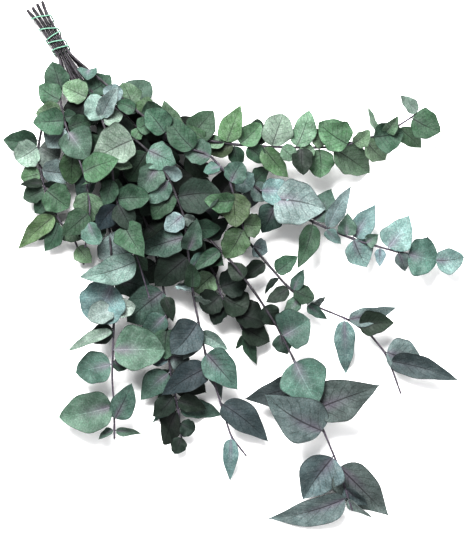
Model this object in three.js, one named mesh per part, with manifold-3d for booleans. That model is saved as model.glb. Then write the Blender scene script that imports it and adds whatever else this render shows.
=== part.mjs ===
// A bunch of dried eucalyptus, lying on its side: twelve leafy stems held by one elastic tie.
// Units are millimetres. +X is across to the right, +Y runs up towards the cut ends, +Z is up.

import * as THREE from "three";
import { mergeVertices } from "three/addons/utils/BufferGeometryUtils.js";
import Module from "manifold-3d";

const wasm = await Module();
wasm.setup();

// Driving dimensions.
// Places are measured as [across, down] from the top left corner of the ground the bunch covers.
const middleAcross = 233;
const middleDown = 261.1;
const bladeThick = 0.75;
const bladeGap = 0.4;
const stemRadius = 1.55;
const stemTipRadius = 0.85;
const stemSides = 4;
const ringsPerSpan = 1;
const spanSteps = 8;
const bareTipSteps = 2;
const tieRadius = 0.75;
const tieSides = 6;
const tieGap = 0.7;
const tieSquareness = 6;
const stepsPerTurn = 12;
const tieArch = 4;
const tieSlant = 4;

// Each strand of the tie passes through a list of [turn, distance along the bundle].
// A turn of 0 is on the right side of the bundle, 0.25 on top and 0.5 on its left side.
const tieStrands = [
  [[0.5, -1], [-0.5, 12], [-1.5, 29], [-2.5, 38], [-3.5, 41]],
  [[-0.03, 20.4], [0.53, 29.1]],
];

// The bundle under the tie: four stems across and three high, on a slanting axis.
const bundleStart = [40, 15];
const bundleAlong = [0.514, 0.857];
const bundleAcross = [0.857, -0.514];
const bundlePitch = 3.45;
const middleColumn = 1.5;
const middleRow = 1;
const bundleRise = 3.45;
const bundleLowest = 4.4;
const bundleStations = [[-13, 1.7], [0, 1.2], [20, 1.03], [46, 1]];
const cutEndSpread = 7;

// Leaf form. A blade starts stalkReach out from its stem's middle, and its root rises rootRise over the
// stem's skin, or under it where the leaf hangs steeper than hangingLift. Its stalk starts inside the stem.
const stalkReach = 1;
const stalkStart = 0.62;
const rootRise = 0.8;
const hangingLift = -15;
const leafStations = [0.08, 0.36, 0.76];
const smallLeafStations = [0.14, 0.62];
const smallLeafLength = 33;
const middleStation = 0.42;
const baseRound = 0.46;
const tipSharpest = 1.05;
const tipRoundest = 0.5;
const tipSlender = 1.1;
const tipByWidth = 0.55;
const sharpSpread = [-0.1, 0.28];
const bendRange = [-0.1, 0.28];
const foldRange = [0.06, 0.55];

// Leaves between the given ones come in opposite pairs: one pair lies level, the next stands upright.
const levelPair = { open: [55, 100], lift: 4 };
const uprightPair = { open: [5, 40], lift: 36 };
const liftSpread = [-14, 14];
const rollSpread = [-26, 26];
const reachRange = [0.76, 1.14];
const widthRange = [0.7, 0.94];

// A leaf given with a lift below this hangs hidden in the bunch, and others may lie over it.
const hiddenLift = -30;

// Seeds of the drawn values.
const cutEndSeed = 700;
const givenSeed = 100;
const fillingSeed = 9000;
const temperSeeds = 1e6;

// Ways in which a leaf may be turned so that it clears its neighbours.
const liftSteps = [0, 8, -8, 16, -16, 24, -24, 32, -32];
const rollSteps = [0, 15, -15, 30, -30];
const sizeSteps = [1, 0.86];
const rollCost = 0.6;
const leastShortening = 0.72;

// Numbers smaller than these count as nothing.
const parallelEdges = 1e-9;
const sameCorner = 1e-4;

const leafLook = { color: "#4f6b60", roughness: 0.75, metalness: 0 };
const tieLook = { color: "#8fc7ad", roughness: 0.5, metalness: 0 };

// Each route is a list of [across, down, up] beyond the tie.
// Each leaf is [base across, base down, tip across, tip down, width, lift, roll].
// Filling is [first span, last span, spacing, leaf length at the first, leaf length at the last].
const sprays = [
  {
    name: "leafy_stem_01_upper_right", column: 0, row: 1, sharp: 0,
    route: [
      [86, 68, 12], [111, 90, 26], [140, 113, 38], [165, 130, 44], [200, 140, 46], [235, 145, 44],
      [266, 147, 42], [306, 148, 38], [340, 147, 34], [372, 137, 32], [398, 126, 30], [424, 109, 30],
    ],
    leaves: [
      [372, 137, 404, 133, 31, -2, 10], [134, 107, 122, 83, 28, 14, 0], [143, 115, 149, 97, 19, 12, 0],
      [160, 126, 148, 101, 26, 14, 0], [176, 133, 164, 100, 22, 16, 0], [192, 138, 214, 111, 30, 15, 0],
      [205, 140, 184, 125, 13, 20, 25], [150, 119, 158, 142, 28, -12, 0], [224, 144, 241, 106, 24, 20, 0],
      [240, 146, 261, 124, 22, 12, 0], [262, 147, 257, 119, 19, 6, 0], [272, 148, 283, 114, 32, 16, 0],
      [296, 148, 309, 111, 24, 18, 0], [226, 143, 204, 139, 14, 14, 0], [235, 145, 208, 153, 19, 2, 0],
      [236, 145, 237, 165, 20, -6, 0], [247, 146, 266, 163, 18, -5, 0], [262, 147, 288, 177, 21, -10, 0],
      [281, 148, 297, 159, 17, 4, 0], [316, 148, 300, 157, 17, 8, 0], [303, 148, 303, 177, 21, -12, 0],
      [319, 148, 320, 178, 28, -4, 0], [340, 147, 325, 138, 16, 14, 0], [322, 147, 313, 128, 16, 12, 0],
      [350, 144, 316, 122, 33, 18, 0], [331, 147, 371, 172, 33, -9, 0], [352, 144, 371, 132, 19, 16, 30],
      [376, 136, 370, 105, 21, 20, 72], [384, 132, 400, 117, 15, 20, 0], [364, 140, 389, 161, 24, -12, 0],
      [397, 127, 421, 150, 20, -8, 0], [424, 110, 398, 96, 15, 22, 20], [408, 116, 441, 132, 31, 0, 0],
    ],
    filling: [6, 8, 26, 38, 34],
  },
  {
    name: "leafy_stem_02_right", column: 1, row: 1, sharp: 0.12,
    route: [
      [80, 73, 11], [103, 98, 20], [135, 127, 28], [172, 148, 32], [210, 165, 33], [247, 181, 33],
      [281, 206, 32], [313, 222, 31], [340, 234, 29], [365, 243, 27], [395, 251, 24], [420, 256, 21],
      [440, 262, 18],
    ],
    leaves: [
      [258, 190, 298, 193, 27, 2, 0], [236, 175, 252, 190, 24, 5, 0], [250, 183, 271, 199, 21, -12, 0],
      [250, 184, 270, 168, 18, 8, 0], [249, 183, 254, 212, 22, -10, 0], [273, 202, 327, 209, 47, 9, -4],
      [275, 203, 262, 233, 28, -6, 0], [314, 222, 332, 188, 29, 10, 0], [314, 223, 297, 269, 21, -10, 0],
      [328, 229, 350, 185, 19, 15, 20], [325, 228, 341, 244, 19, -5, 50], [345, 236, 348, 213, 20, 18, 0],
      [352, 238, 376, 204, 24, 15, 0], [353, 239, 368, 267, 32, -8, 0], [365, 243, 379, 235, 14, 10, 0],
      [378, 247, 380, 267, 11, -8, 0], [387, 249, 410, 214, 33, 12, 0], [397, 252, 406, 272, 15, -12, 0],
      [407, 253, 438, 261, 39, 5, 0], [434, 260, 465, 257, 26, 5, 0], [425, 257, 429, 234, 6, 20, 0],
    ],
    filling: [5, 8, 22, 42, 38],
  },
  {
    name: "leafy_stem_03_top_right", column: 0, row: 2, sharp: 0,
    route: [
      [84, 66, 20], [104, 83, 40], [126, 102, 56], [155, 127, 64], [185, 148, 66], [210, 156, 64],
      [228, 176, 60], [237, 208, 54], [247, 240, 48],
    ],
    leaves: [
      [122, 99, 104, 90, 18, 16, 0], [137, 111, 117, 104, 15, 14, 0], [152, 125, 138, 130, 19, 2, 0],
      [164, 135, 147, 111, 27, 12, 0], [196, 151, 168, 118, 26, 14, 0], [212, 158, 182, 147, 26, 10, 0],
      [222, 168, 203, 171, 14, 10, 25], [230, 182, 242, 163, 24, 10, 0], [233, 190, 236, 228, 30, -6, 0],
      [242, 224, 261, 226, 24, 4, 0], [243, 230, 225, 259, 29, -4, 0], [246, 235, 229, 250, 13, 16, 20],
      [89, 70, 87, 86, 20, 62, 0],
    ],
    filling: [8, 12, 26, 40, 36],
  },
  {
    name: "leafy_stem_04_lower_right", column: 0, row: 0, sharp: 0.15,
    route: [
      [84, 71, 6], [110, 100, 10], [145, 135, 14], [185, 168, 18], [215, 200, 22], [247, 240, 26],
      [266, 262, 28], [285, 284, 28], [305, 302, 27], [325, 310, 26], [347, 319, 24], [370, 334, 20],
      [385, 352, 16], [393, 370, 12], [401, 392, 8],
    ],
    leaves: [
      [150, 138, 190, 122, 32, -35, 0], [212, 197, 246, 206, 32, -40, 0], [238, 229, 263, 221, 21, 10, 0],
      [252, 245, 268, 252, 20, 0, 0], [266, 262, 240, 281, 16, -5, 0], [281, 280, 262, 291, 9, -2, 40],
      [291, 290, 303, 268, 14, 12, 20], [290, 290, 266, 303, 16, 0, 20], [300, 300, 284, 316, 15, 2, 10],
      [275, 272, 298, 256, 18, 10, 0], [292, 290, 315, 299, 22, 5, 0], [306, 303, 326, 299, 19, 8, 60],
      [308, 304, 326, 321, 13, 4, 30], [346, 318, 399, 308, 19, 8, 15], [358, 325, 395, 323, 25, 5, 0],
      [345, 319, 347, 377, 21, -12, 0], [384, 351, 423, 361, 34, -8, 0], [391, 359, 460, 381, 24, 5, 0],
    ],
    filling: [6, 9, 31, 42, 38],
  },
  {
    name: "leafy_stem_05_long_lower", column: 2, row: 1, sharp: 0.12,
    route: [
      [74, 77, 12], [100, 112, 26], [140, 165, 36], [185, 215, 42], [232, 262, 44], [258, 297, 42],
      [278, 328, 38], [294, 360, 34], [308, 392, 31], [322, 427, 25], [338, 465, 17], [352, 509, 12],
    ],
    leaves: [
      [222, 253, 191, 272, 15, 8, 0], [262, 303, 279, 326, 21, -6, 0], [246, 281, 228, 262, 19, -4, 0],
      [283, 338, 310, 319, 42, 18, 0], [281, 333, 288, 355, 20, -8, 0], [303, 384, 245, 399, 31, -16, 0],
      [295, 361, 318, 405, 48, 2, 0], [323, 431, 264, 393, 47, 17, 0], [314, 410, 380, 386, 45, 12, 0],
      [332, 455, 303, 501, 45, -12, -15], [350, 503, 268, 522, 31, -6, 0],
      [338, 464, 389, 521, 41, -11, 15], [346, 485, 368, 508, 21, -5, 55],
      [350, 502, 371, 523, 19, 0, 65],
    ],
    filling: [5, 9, 31, 44, 38],
  },
  {
    name: "leafy_stem_06_inner_low", column: 1, row: 0, sharp: 0,
    route: [
      [76, 77, 6], [100, 110, 8], [130, 150, 12], [160, 200, 16], [190, 240, 18], [213, 270, 20],
      [222, 298, 20], [238, 320, 18], [247, 338, 16],
    ],
    leaves: [
      [130, 150, 92, 174, 34, -35, 0], [160, 200, 126, 228, 34, -35, 0], [200, 253, 196, 288, 30, -38, 0],
      [214, 272, 194, 292, 26, 0, 0], [219, 286, 247, 276, 30, 0, 0], [221, 294, 202, 311, 27, 3, 0],
      [223, 299, 248, 310, 34, 2, 0], [228, 306, 213, 325, 21, 2, 0], [234, 316, 266, 323, 32, 0, 0],
      [242, 327, 270, 342, 26, 3, 0], [247, 337, 258, 365, 14, 0, 0], [245, 333, 236, 351, 7, 6, 0],
    ],
    filling: [5, 9, 26, 42, 38],
  },
  {
    name: "leafy_stem_07_centre", column: 1, row: 2, sharp: 0.03,
    route: [
      [78, 75, 20], [98, 100, 40], [122, 129, 54], [148, 151, 60], [170, 180, 60], [184, 215, 56],
      [188, 250, 48], [194, 300, 38], [200, 328, 34], [206, 356, 31], [219, 398, 26], [231, 437, 20],
      [245, 455, 14],
    ],
    leaves: [
      [136, 141, 92, 162, 40, 8, 0], [134, 139, 143, 129, 13, 15, 0], [148, 150, 177, 165, 30, 8, 0],
      [160, 167, 140, 198, 27, 5, 0], [161, 168, 184, 176, 19, 4, 40], [170, 181, 150, 204, 20, -2, 0],
      [176, 195, 152, 220, 24, -16, 0], [178, 196, 222, 194, 36, 5, 0], [184, 213, 165, 231, 20, 0, 0],
      [185, 214, 199, 223, 16, 5, 40], [186, 226, 221, 232, 24, -12, 0], [186, 238, 139, 251, 30, 5, 0],
      [187, 248, 199, 219, 21, 16, 0], [190, 268, 219, 249, 17, 6, 0], [189, 258, 155, 286, 33, -10, 0],
      [192, 285, 190, 262, 17, 18, 0], [193, 292, 175, 287, 21, 5, 72], [193, 295, 211, 303, 21, 5, 72],
      [199, 322, 171, 354, 35, -3, 0], [201, 333, 228, 351, 17, 10, 25], [201, 337, 182, 359, 15, 6, 20],
      [206, 357, 220, 400, 16, -8, 30], [205, 354, 238, 390, 33, 3, 0], [209, 368, 161, 396, 30, -4, 0],
      [220, 402, 269, 443, 30, -2, 0], [231, 437, 230, 483, 16, -8, 0],
    ],
    filling: [5, 8, 24, 40, 36],
  },
  {
    name: "leafy_stem_08_lower_centre", column: 2, row: 0, sharp: 0.03,
    route: [
      [70, 79, 6], [88, 110, 10], [110, 150, 15], [132, 190, 20], [150, 232, 24], [164, 290, 26],
      [168, 340, 25], [170, 372, 23], [178, 410, 17], [182, 446, 8],
    ],
    leaves: [
      [164, 292, 128, 324, 43, 0, 0], [165, 298, 173, 322, 14, -5, 0], [167, 318, 142, 340, 24, -3, 0],
      [168, 330, 165, 360, 29, -3, 0], [169, 354, 190, 360, 21, 0, 20], [169, 362, 150, 364, 15, 5, 40],
      [170, 373, 140, 401, 27, 0, 0], [172, 378, 206, 394, 30, -8, 0], [170, 366, 160, 392, 24, -12, 0],
      [176, 396, 152, 417, 24, -8, 0], [177, 399, 207, 410, 19, -8, 0], [177, 405, 145, 424, 14, 4, 40],
      [178, 411, 220, 416, 19, 0, 0], [180, 412, 159, 442, 29, -6, 0], [180, 422, 195, 431, 18, 0, 0],
      [184, 441, 174, 455, 16, 0, 0],
    ],
    filling: [5, 9, 30, 42, 40],
  },
  {
    name: "leafy_stem_09_top_left", column: 2, row: 2, sharp: 0,
    route: [
      [72, 79, 20], [88, 98, 38], [102, 118, 50], [111, 145, 57], [113, 170, 58], [116, 195, 56],
      [126, 230, 50], [140, 265, 44], [149, 296, 38],
    ],
    leaves: [
      [88, 98, 62, 86, 25, 14, 0], [104, 121, 91, 95, 27, 12, 0], [103, 119, 120, 89, 18, 16, 0],
      [105, 124, 125, 117, 19, 6, 0], [103, 119, 87, 113, 16, 2, 0], [112, 158, 92, 172, 16, -2, 0],
      [112, 160, 134, 168, 14, -4, 0], [113, 172, 82, 186, 14, 4, 40], [113, 178, 104, 206, 22, 0, 25],
      [114, 180, 124, 206, 17, -5, -25], [118, 206, 98, 231, 24, -12, 0],
      [118, 206, 133, 232, 24, -10, 0], [135, 252, 148, 271, 16, -8, 0], [138, 261, 80, 277, 30, -3, 0],
    ],
    filling: [4, 10, 27, 40, 36],
  },
  {
    name: "leafy_stem_10_lower_left", column: 3, row: 1, sharp: 0,
    route: [
      [65, 78, 11], [75, 100, 20], [87, 130, 28], [97, 160, 33], [105, 195, 36], [110, 232, 37],
      [113, 278, 36], [114, 320, 34], [113, 350, 31], [112, 378, 28], [114, 410, 23], [114, 437, 17],
    ],
    leaves: [
      [110, 230, 127, 260, 45, 2, 0], [112, 264, 130, 272, 19, 0, 0], [113, 283, 91, 322, 47, -3, 0],
      [113, 277, 148, 288, 32, -8, 0], [114, 312, 88, 320, 24, 10, 0], [114, 310, 136, 306, 19, 10, 0],
      [114, 328, 88, 341, 20, -8, 0], [114, 331, 66, 351, 13, 12, 50], [113, 349, 166, 351, 45, 3, 0],
      [114, 364, 75, 373, 33, 0, 0], [114, 359, 128, 368, 15, 0, 0], [114, 407, 57, 418, 41, 3, 0],
      [114, 419, 132, 383, 25, 15, 0], [114, 437, 98, 440, 9, 0, 30], [114, 437, 142, 433, 10, 0, 30],
    ],
    filling: [5, 9, 26, 44, 40],
  },
  {
    name: "leafy_stem_11_left_top", column: 3, row: 2, sharp: 0,
    route: [
      [62, 76, 20], [60, 98, 36], [66, 125, 46], [77, 152, 51], [87, 180, 52], [91, 208, 48],
      [86, 245, 40],
    ],
    leaves: [
      [61, 89, 52, 61, 26, 12, 0], [60, 100, 39, 86, 25, 8, 0], [62, 113, 36, 114, 25, 4, 0],
      [64, 118, 77, 115, 15, 8, 0], [67, 128, 96, 120, 21, 0, 0], [69, 131, 89, 160, 36, 5, 0],
      [68, 130, 48, 148, 28, -10, 0], [88, 190, 86, 226, 32, -3, 0], [90, 214, 62, 236, 26, -3, 0],
      [89, 224, 100, 246, 21, -8, 0],
    ],
    filling: [5, 8, 26, 38, 34],
  },
  {
    name: "leafy_stem_12_left", column: 3, row: 0, sharp: 0,
    route: [
      [59, 75, 6], [50, 100, 12], [41, 128, 18], [37, 152, 21], [42, 180, 22], [50, 205, 21],
      [61, 224, 17], [74, 240, 12], [82, 262, 7],
    ],
    leaves: [
      [37, 145, 15, 160, 29, 3, 0], [37, 147, 59, 158, 29, 3, 0], [40, 168, 79, 172, 27, 0, 0],
      [41, 174, 20, 178, 21, 0, 0], [43, 184, 19, 184, 10, 10, 45], [43, 184, 57, 184, 10, 10, 45],
      [45, 188, 22, 198, 22, -5, 0], [46, 190, 69, 208, 32, 3, 0], [48, 200, 33, 212, 17, -4, 0],
      [53, 211, 34, 246, 22, -38, 0], [54, 214, 16, 249, 20, -8, 0], [60, 222, 44, 252, 21, -8, 0],
      [62, 224, 84, 238, 25, 0, 0], [77, 245, 91, 263, 18, -5, 0], [38, 140, 1, 139, 27, 0, 0],
    ],
    filling: [7, 8, 22, 32, 30],
  },
];

// Small vector sums on plain [x, y, z] lists.
const add = (a, b, times = 1) => [a[0] + b[0] * times, a[1] + b[1] * times, a[2] + b[2] * times];
const minus = (a, b) => [a[0] - b[0], a[1] - b[1], a[2] - b[2]];
const dot = (a, b) => a[0] * b[0] + a[1] * b[1] + a[2] * b[2];
const cross = (a, b) => [a[1] * b[2] - a[2] * b[1], a[2] * b[0] - a[0] * b[2], a[0] * b[1] - a[1] * b[0]];
const length = (a) => Math.sqrt(dot(a, a));
const clamp = (value, low, high) => Math.min(Math.max(value, low), high);
const radians = (degrees) => degrees * Math.PI / 180;
const between = ([low, high], share) => low + (high - low) * share;

function place([across, down, up]) {
  return [across - middleAcross, middleDown - down, up];
}

// A seeded run of numbers from 0 to 1.
function dice(seed) {
  let state = seed;
  return () => {
    state = (state * 1664525 + 1013904223) % 4294967296;
    return state / 4294967296;
  };
}

// Where a stem runs inside the bundle, before it fans out.
function bundlePoint(spray, number, station) {
  const [distance, spread] = bundleStations[station];
  const roll = dice(cutEndSeed + number);
  const endShift = station === 0 ? (roll() - 0.5) * cutEndSpread : 0;
  const along = distance + endShift;
  const side = (middleColumn - spray.column) * bundlePitch * spread;
  return [
    bundleStart[0] + bundleAlong[0] * along + bundleAcross[0] * side,
    bundleStart[1] + bundleAlong[1] * along + bundleAcross[1] * side,
    bundleLowest + bundleRise * spray.row,
  ];
}

// Makes a curve step evenly from point to point, and not by its length.
function stepEvenly(curve) {
  curve.getPointAt = (share, target) => curve.getPoint(share, target);
  curve.getTangentAt = (share, target) => curve.getTangent(share, target);
  return curve;
}

// The stem's curve, the number of its rings, and short steps along the straight runs between rings.
function stemPath(spray, number) {
  const inBundle = bundleStations.map((entry, station) => bundlePoint(spray, number, station));
  const points = [...inBundle, ...spray.route].map(place);
  const vectors = points.map((point) => new THREE.Vector3(...point));
  const curve = stepEvenly(new THREE.CatmullRomCurve3(vectors, false, "catmullrom", 0.5));
  const rings = Math.round(ringsPerSpan * (points.length - 1));
  const count = (points.length - 1) * spanSteps;
  const steps = [];
  for (let step = 0; step <= count; step += 1) {
    const ring = Math.min(Math.floor(step / count * rings), rings - 1);
    const from = curve.getPoint(ring / rings);
    const to = curve.getPoint((ring + 1) / rings);
    steps.push(from.lerp(to, step / count * rings - ring).toArray());
  }
  return { curve, rings, steps };
}

function stemRadiusAt(path, step) {
  const share = step / (path.steps.length - 1);
  return stemRadius + (stemTipRadius - stemRadius) * share;
}

// A leaf's own directions: along the blade, to its left side, and out of its upper face.
function leafFrame(leaf) {
  const heading = leaf.heading;
  const lift = radians(leaf.lift);
  const roll = radians(leaf.roll);
  const along = [Math.cos(heading) * Math.cos(lift), Math.sin(heading) * Math.cos(lift), Math.sin(lift)];
  const level = [-Math.sin(heading), Math.cos(heading), 0];
  const upright = cross(along, level);
  const side = add(level.map((part) => part * Math.cos(roll)), upright, Math.sin(roll));
  const face = add(upright.map((part) => part * Math.cos(roll)), level, -Math.sin(roll));
  return { along, side, face };
}

// Half the blade's width at a share of its length, as a part of half the full width.
function outlineShare(leaf, share) {
  const slender = tipSlender - tipByWidth * leaf.width / leaf.length + leaf.sharp;
  const tipSharp = clamp(slender, tipRoundest, tipSharpest);
  const widest = baseRound / (baseRound + tipSharp);
  const full = widest ** baseRound * (1 - widest) ** tipSharp;
  return share ** baseRound * (1 - share) ** tipSharp / full;
}

// A point of the blade's middle surface; across runs from -1 at the right edge to 1 at the left.
function leafPoint(leaf, frame, share, across) {
  const start = stalkReach / leaf.length;
  const run = start + (1 - start) * share;
  const half = leaf.width / 2 * outlineShare(leaf, share) * across;
  const root = leaf.rootHigh * (1 - share) ** 2;
  const rise = root + Math.abs(half) * leaf.fold - leaf.length * leaf.bend * run * run;
  const point = add(add(add(leaf.base, frame.along, leaf.length * run), frame.side, half), frame.face, rise);
  point[2] = Math.max(point[2], bladeThick / 2);
  return point;
}

// The plan of a blade's net: its base, a left and a right point at each station, its tip, its middle.
function planNet(stations) {
  const tip = 2 * stations.length + 1;
  const middle = tip + 1;
  const leftSide = stations.map((share, at) => 2 * at + 1).reverse();
  const rightSide = stations.map((share, at) => 2 * at + 2);
  const order = [0, ...rightSide, tip, ...leftSide];
  const rim = order.map((point, at) => [point, order[(at + 1) % order.length]]);
  const fan = rim.slice(1, -1).map(([from, to]) => [from, to, middle]);
  const triangles = [[0, 2, 1], [1, 2, middle], ...fan];
  const edges = [...rim, [1, 2], [middle, tip]];
  return { stations, rim, triangles, edges };
}

const largePlan = planNet(leafStations);
const smallPlan = planNet(smallLeafStations);

function leafNet(leaf) {
  const frame = leafFrame(leaf);
  const plan = leaf.length < smallLeafLength ? smallPlan : largePlan;
  const points = [add(leaf.base, frame.face, Math.sign(leaf.rootHigh) * leaf.stemRadius * stalkStart)];
  for (const share of plan.stations) {
    points.push(leafPoint(leaf, frame, share, 1), leafPoint(leaf, frame, share, -1));
  }
  points.push(leafPoint(leaf, frame, 1, 0), leafPoint(leaf, frame, middleStation, 0));
  return { ...plan, points, fat: bladeThick / 2, face: frame.face, box: boxOf(points) };
}

// The same net without the parts near the stem, for neighbours that grow from the same stem.
function outerNet(net, firstPoint) {
  const beyond = (corners) => corners.every((corner) => corner >= firstPoint);
  return {
    ...net, triangles: net.triangles.filter(beyond), rim: net.rim.filter(beyond),
    edges: net.edges.filter(beyond), first: firstPoint,
  };
}

function boxOf(points) {
  const low = [0, 1, 2].map((axis) => Math.min(...points.map((point) => point[axis])));
  const high = [0, 1, 2].map((axis) => Math.max(...points.map((point) => point[axis])));
  return { low, high };
}

function boxesNear(a, b, reach) {
  for (let axis = 0; axis < 3; axis += 1) {
    if (a.low[axis] - reach > b.high[axis] || b.low[axis] - reach > a.high[axis]) return false;
  }
  return true;
}

// The least distance between two straight edges.
function edgeDistance(p, q, r, s) {
  const u = minus(q, p);
  const v = minus(s, r);
  const w = minus(p, r);
  const uu = dot(u, u);
  const vv = dot(v, v);
  const uv = dot(u, v);
  const uw = dot(u, w);
  const vw = dot(v, w);
  const spread = uu * vv - uv * uv;
  let onFirst = spread > parallelEdges ? clamp((uv * vw - vv * uw) / spread, 0, 1) : 0;
  const onSecond = clamp((uv * onFirst + vw) / vv, 0, 1);
  onFirst = clamp((uv * onSecond - uw) / uu, 0, 1);
  return length(minus(add(p, u, onFirst), add(r, v, onSecond)));
}

// Whether a point in a triangle's plane lies inside it.
function insideTriangle(point, [a, b, c], normal) {
  return dot(cross(minus(b, a), minus(point, a)), normal) >= 0
    && dot(cross(minus(c, b), minus(point, b)), normal) >= 0
    && dot(cross(minus(a, c), minus(point, c)), normal) >= 0;
}

// Whether a net's points come too near another net's faces, or its rim runs through them.
function facesMeet(net, other, reach) {
  for (const corners of other.triangles) {
    const triangle = corners.map((corner) => other.points[corner]);
    const normal = cross(minus(triangle[1], triangle[0]), minus(triangle[2], triangle[0]));
    const size = length(normal);
    const heights = net.points.map((point) => dot(minus(point, triangle[0]), normal) / size);
    for (let at = net.first ?? 0; at < net.points.length; at += 1) {
      const foot = add(net.points[at], normal, -heights[at] / size);
      if (Math.abs(heights[at]) < reach && insideTriangle(foot, triangle, normal)) return true;
    }
    for (const [from, to] of net.rim) {
      if (heights[from] * heights[to] < 0) {
        const share = heights[from] / (heights[from] - heights[to]);
        const meeting = add(net.points[from], minus(net.points[to], net.points[from]), share);
        if (insideTriangle(meeting, triangle, normal)) return true;
      }
    }
  }
  return false;
}

function netsClear(a, b) {
  const reach = a.fat + b.fat + bladeGap;
  if (!boxesNear(a.box, b.box, reach)) return true;
  if (facesMeet(a, b, reach) || facesMeet(b, a, reach)) return false;
  for (const [p, q] of a.edges) {
    for (const [r, s] of b.edges) {
      if (edgeDistance(a.points[p], a.points[q], b.points[r], b.points[s]) < reach) return false;
    }
  }
  return true;
}

// A stem as short runs of straight edges, each with the box round it.
function stemNets(path) {
  const nets = [];
  for (let step = 0; step < path.steps.length - 1; step += spanSteps) {
    const points = path.steps.slice(step, step + spanSteps + 1);
    const edges = points.slice(1).map((point, at) => [at, at + 1]);
    const fat = stemRadiusAt(path, step);
    nets.push({ points, triangles: [], rim: edges, edges, fat, box: boxOf(points) });
  }
  return nets;
}

// Every way of turning and shrinking a leaf, the smallest changes first.
const turns = liftSteps.flatMap((lift) => rollSteps.map((roll) => ({ lift, roll })));
const turnCost = (turn) => Math.abs(turn.lift) + rollCost * Math.abs(turn.roll);
turns.sort((a, b) => turnCost(a) - turnCost(b));

function sizedLeaf(wish, turn, size) {
  const leaf = { ...wish, lift: wish.lift + turn.lift, roll: wish.roll + turn.roll };
  const lift = radians(leaf.lift);
  const shortening = Math.cos(lift) + leaf.bend * Math.sin(lift);
  leaf.length = wish.reach * size / Math.max(shortening, leastShortening);
  leaf.width = wish.width * size;
  leaf.rootHigh = (leaf.stemRadius + rootRise) * (wish.lift < hangingLift ? -1 : 1);
  return leaf;
}

// The first turn of a leaf that keeps it clear of all that is placed, or nothing.
function settleLeaf(wish, placed, stems) {
  for (const size of sizeSteps) {
    for (const turn of turns) {
      const leaf = sizedLeaf(wish, turn, size);
      const net = leafNet(leaf);
      const own = outerNet(net, 1);
      const outer = outerNet(net, 3);
      const clearOfLeaves = placed.every((other) => (
        other.leaf.spray === leaf.spray ? netsClear(own, other.own) : netsClear(net, other.net)));
      const clear = clearOfLeaves && stems.every((stem) => (
        stem.spray === leaf.spray ? netsClear(outer, stem.net) : netsClear(net, stem.net)));
      if (clear) return { leaf, net, own };
    }
  }
  return null;
}

// How far a blade bends down along its length, folds up from its middle and narrows to its tip.
function bladeTemper(seed) {
  const roll = dice(seed);
  roll();
  return {
    bend: between(bendRange, roll()), fold: between(foldRange, roll()), sharp: between(sharpSpread, roll()),
  };
}

// A leaf whose place, tip and width are given.
function wishFromRow(spray, path, row, seed) {
  const [baseAcross, baseDown, tipAcross, tipDown, width, lift, roll] = row;
  const near = place([baseAcross, baseDown, 0]);
  const from = spanSteps * bundleStations.length;
  let nearest = from;
  let least = Infinity;
  for (let step = from; step < path.steps.length - bareTipSteps; step += 1) {
    const [dx, dy] = minus(path.steps[step], near);
    if (dx * dx + dy * dy < least) {
      least = dx * dx + dy * dy;
      nearest = step;
    }
  }
  const base = path.steps[nearest];
  const [dx, dy] = minus(place([tipAcross, tipDown, 0]), base);
  const wish = {
    spray, base, heading: Math.atan2(dy, dx), reach: Math.hypot(dx, dy), width, lift, roll,
    stemRadius: stemRadiusAt(path, nearest), ...bladeTemper(seed),
  };
  wish.sharp += sprays[spray].sharp;
  return wish;
}

// Opposite pairs along the stem, each pair a quarter turn from the last.
function fillingWishes(path, number, filling) {
  const [firstSpan, lastSpan, spacing, firstLength, lastLength] = filling;
  const roll = dice(fillingSeed + number);
  const wishes = [];
  let walked = 0;
  let pair = 0;
  const from = firstSpan * spanSteps;
  const to = Math.min(lastSpan * spanSteps, path.steps.length - bareTipSteps);
  for (let step = from; step < to; step += 1) {
    walked += length(minus(path.steps[step + 1], path.steps[step]));
    if (walked < spacing) continue;
    walked = 0;
    pair += 1;
    const upright = pair % 2 === 0;
    const form = upright ? uprightPair : levelPair;
    const size = between([firstLength, lastLength], (step - from) / (to - from));
    const ahead = minus(path.steps[step + 1], path.steps[step]);
    const course = Math.atan2(ahead[1], ahead[0]);
    for (const hand of [1, -1]) {
      const heading = course + hand * radians(between(form.open, roll()));
      const lift = (upright ? hand : 1) * form.lift + between(liftSpread, roll());
      const tilt = between(rollSpread, roll());
      const reach = size * between(reachRange, roll());
      const width = reach * between(widthRange, roll());
      const temper = bladeTemper(Math.floor(temperSeeds * roll()));
      wishes.push({
        spray: number, base: path.steps[step], heading, reach, width, lift, roll: tilt,
        stemRadius: stemRadiusAt(path, step), ...temper,
      });
    }
  }
  return wishes;
}

// Seen from straight above, how far a point lies to the left of an edge.
function leftOf(point, from, to) {
  return (to[0] - from[0]) * (point[1] - from[1]) - (to[1] - from[1]) * (point[0] - from[0]);
}

// Whether a blade lies over a point, seen from straight above.
function liesOver(net, point) {
  if (point[2] > net.points.at(-1)[2]) return false;
  return net.triangles.some((corners) => {
    const [a, b, c] = corners.map((corner) => net.points[corner]);
    const sides = [leftOf(point, a, b), leftOf(point, b, c), leftOf(point, c, a)];
    return sides.every((side) => side > 0) || sides.every((side) => side < 0);
  });
}

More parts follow.
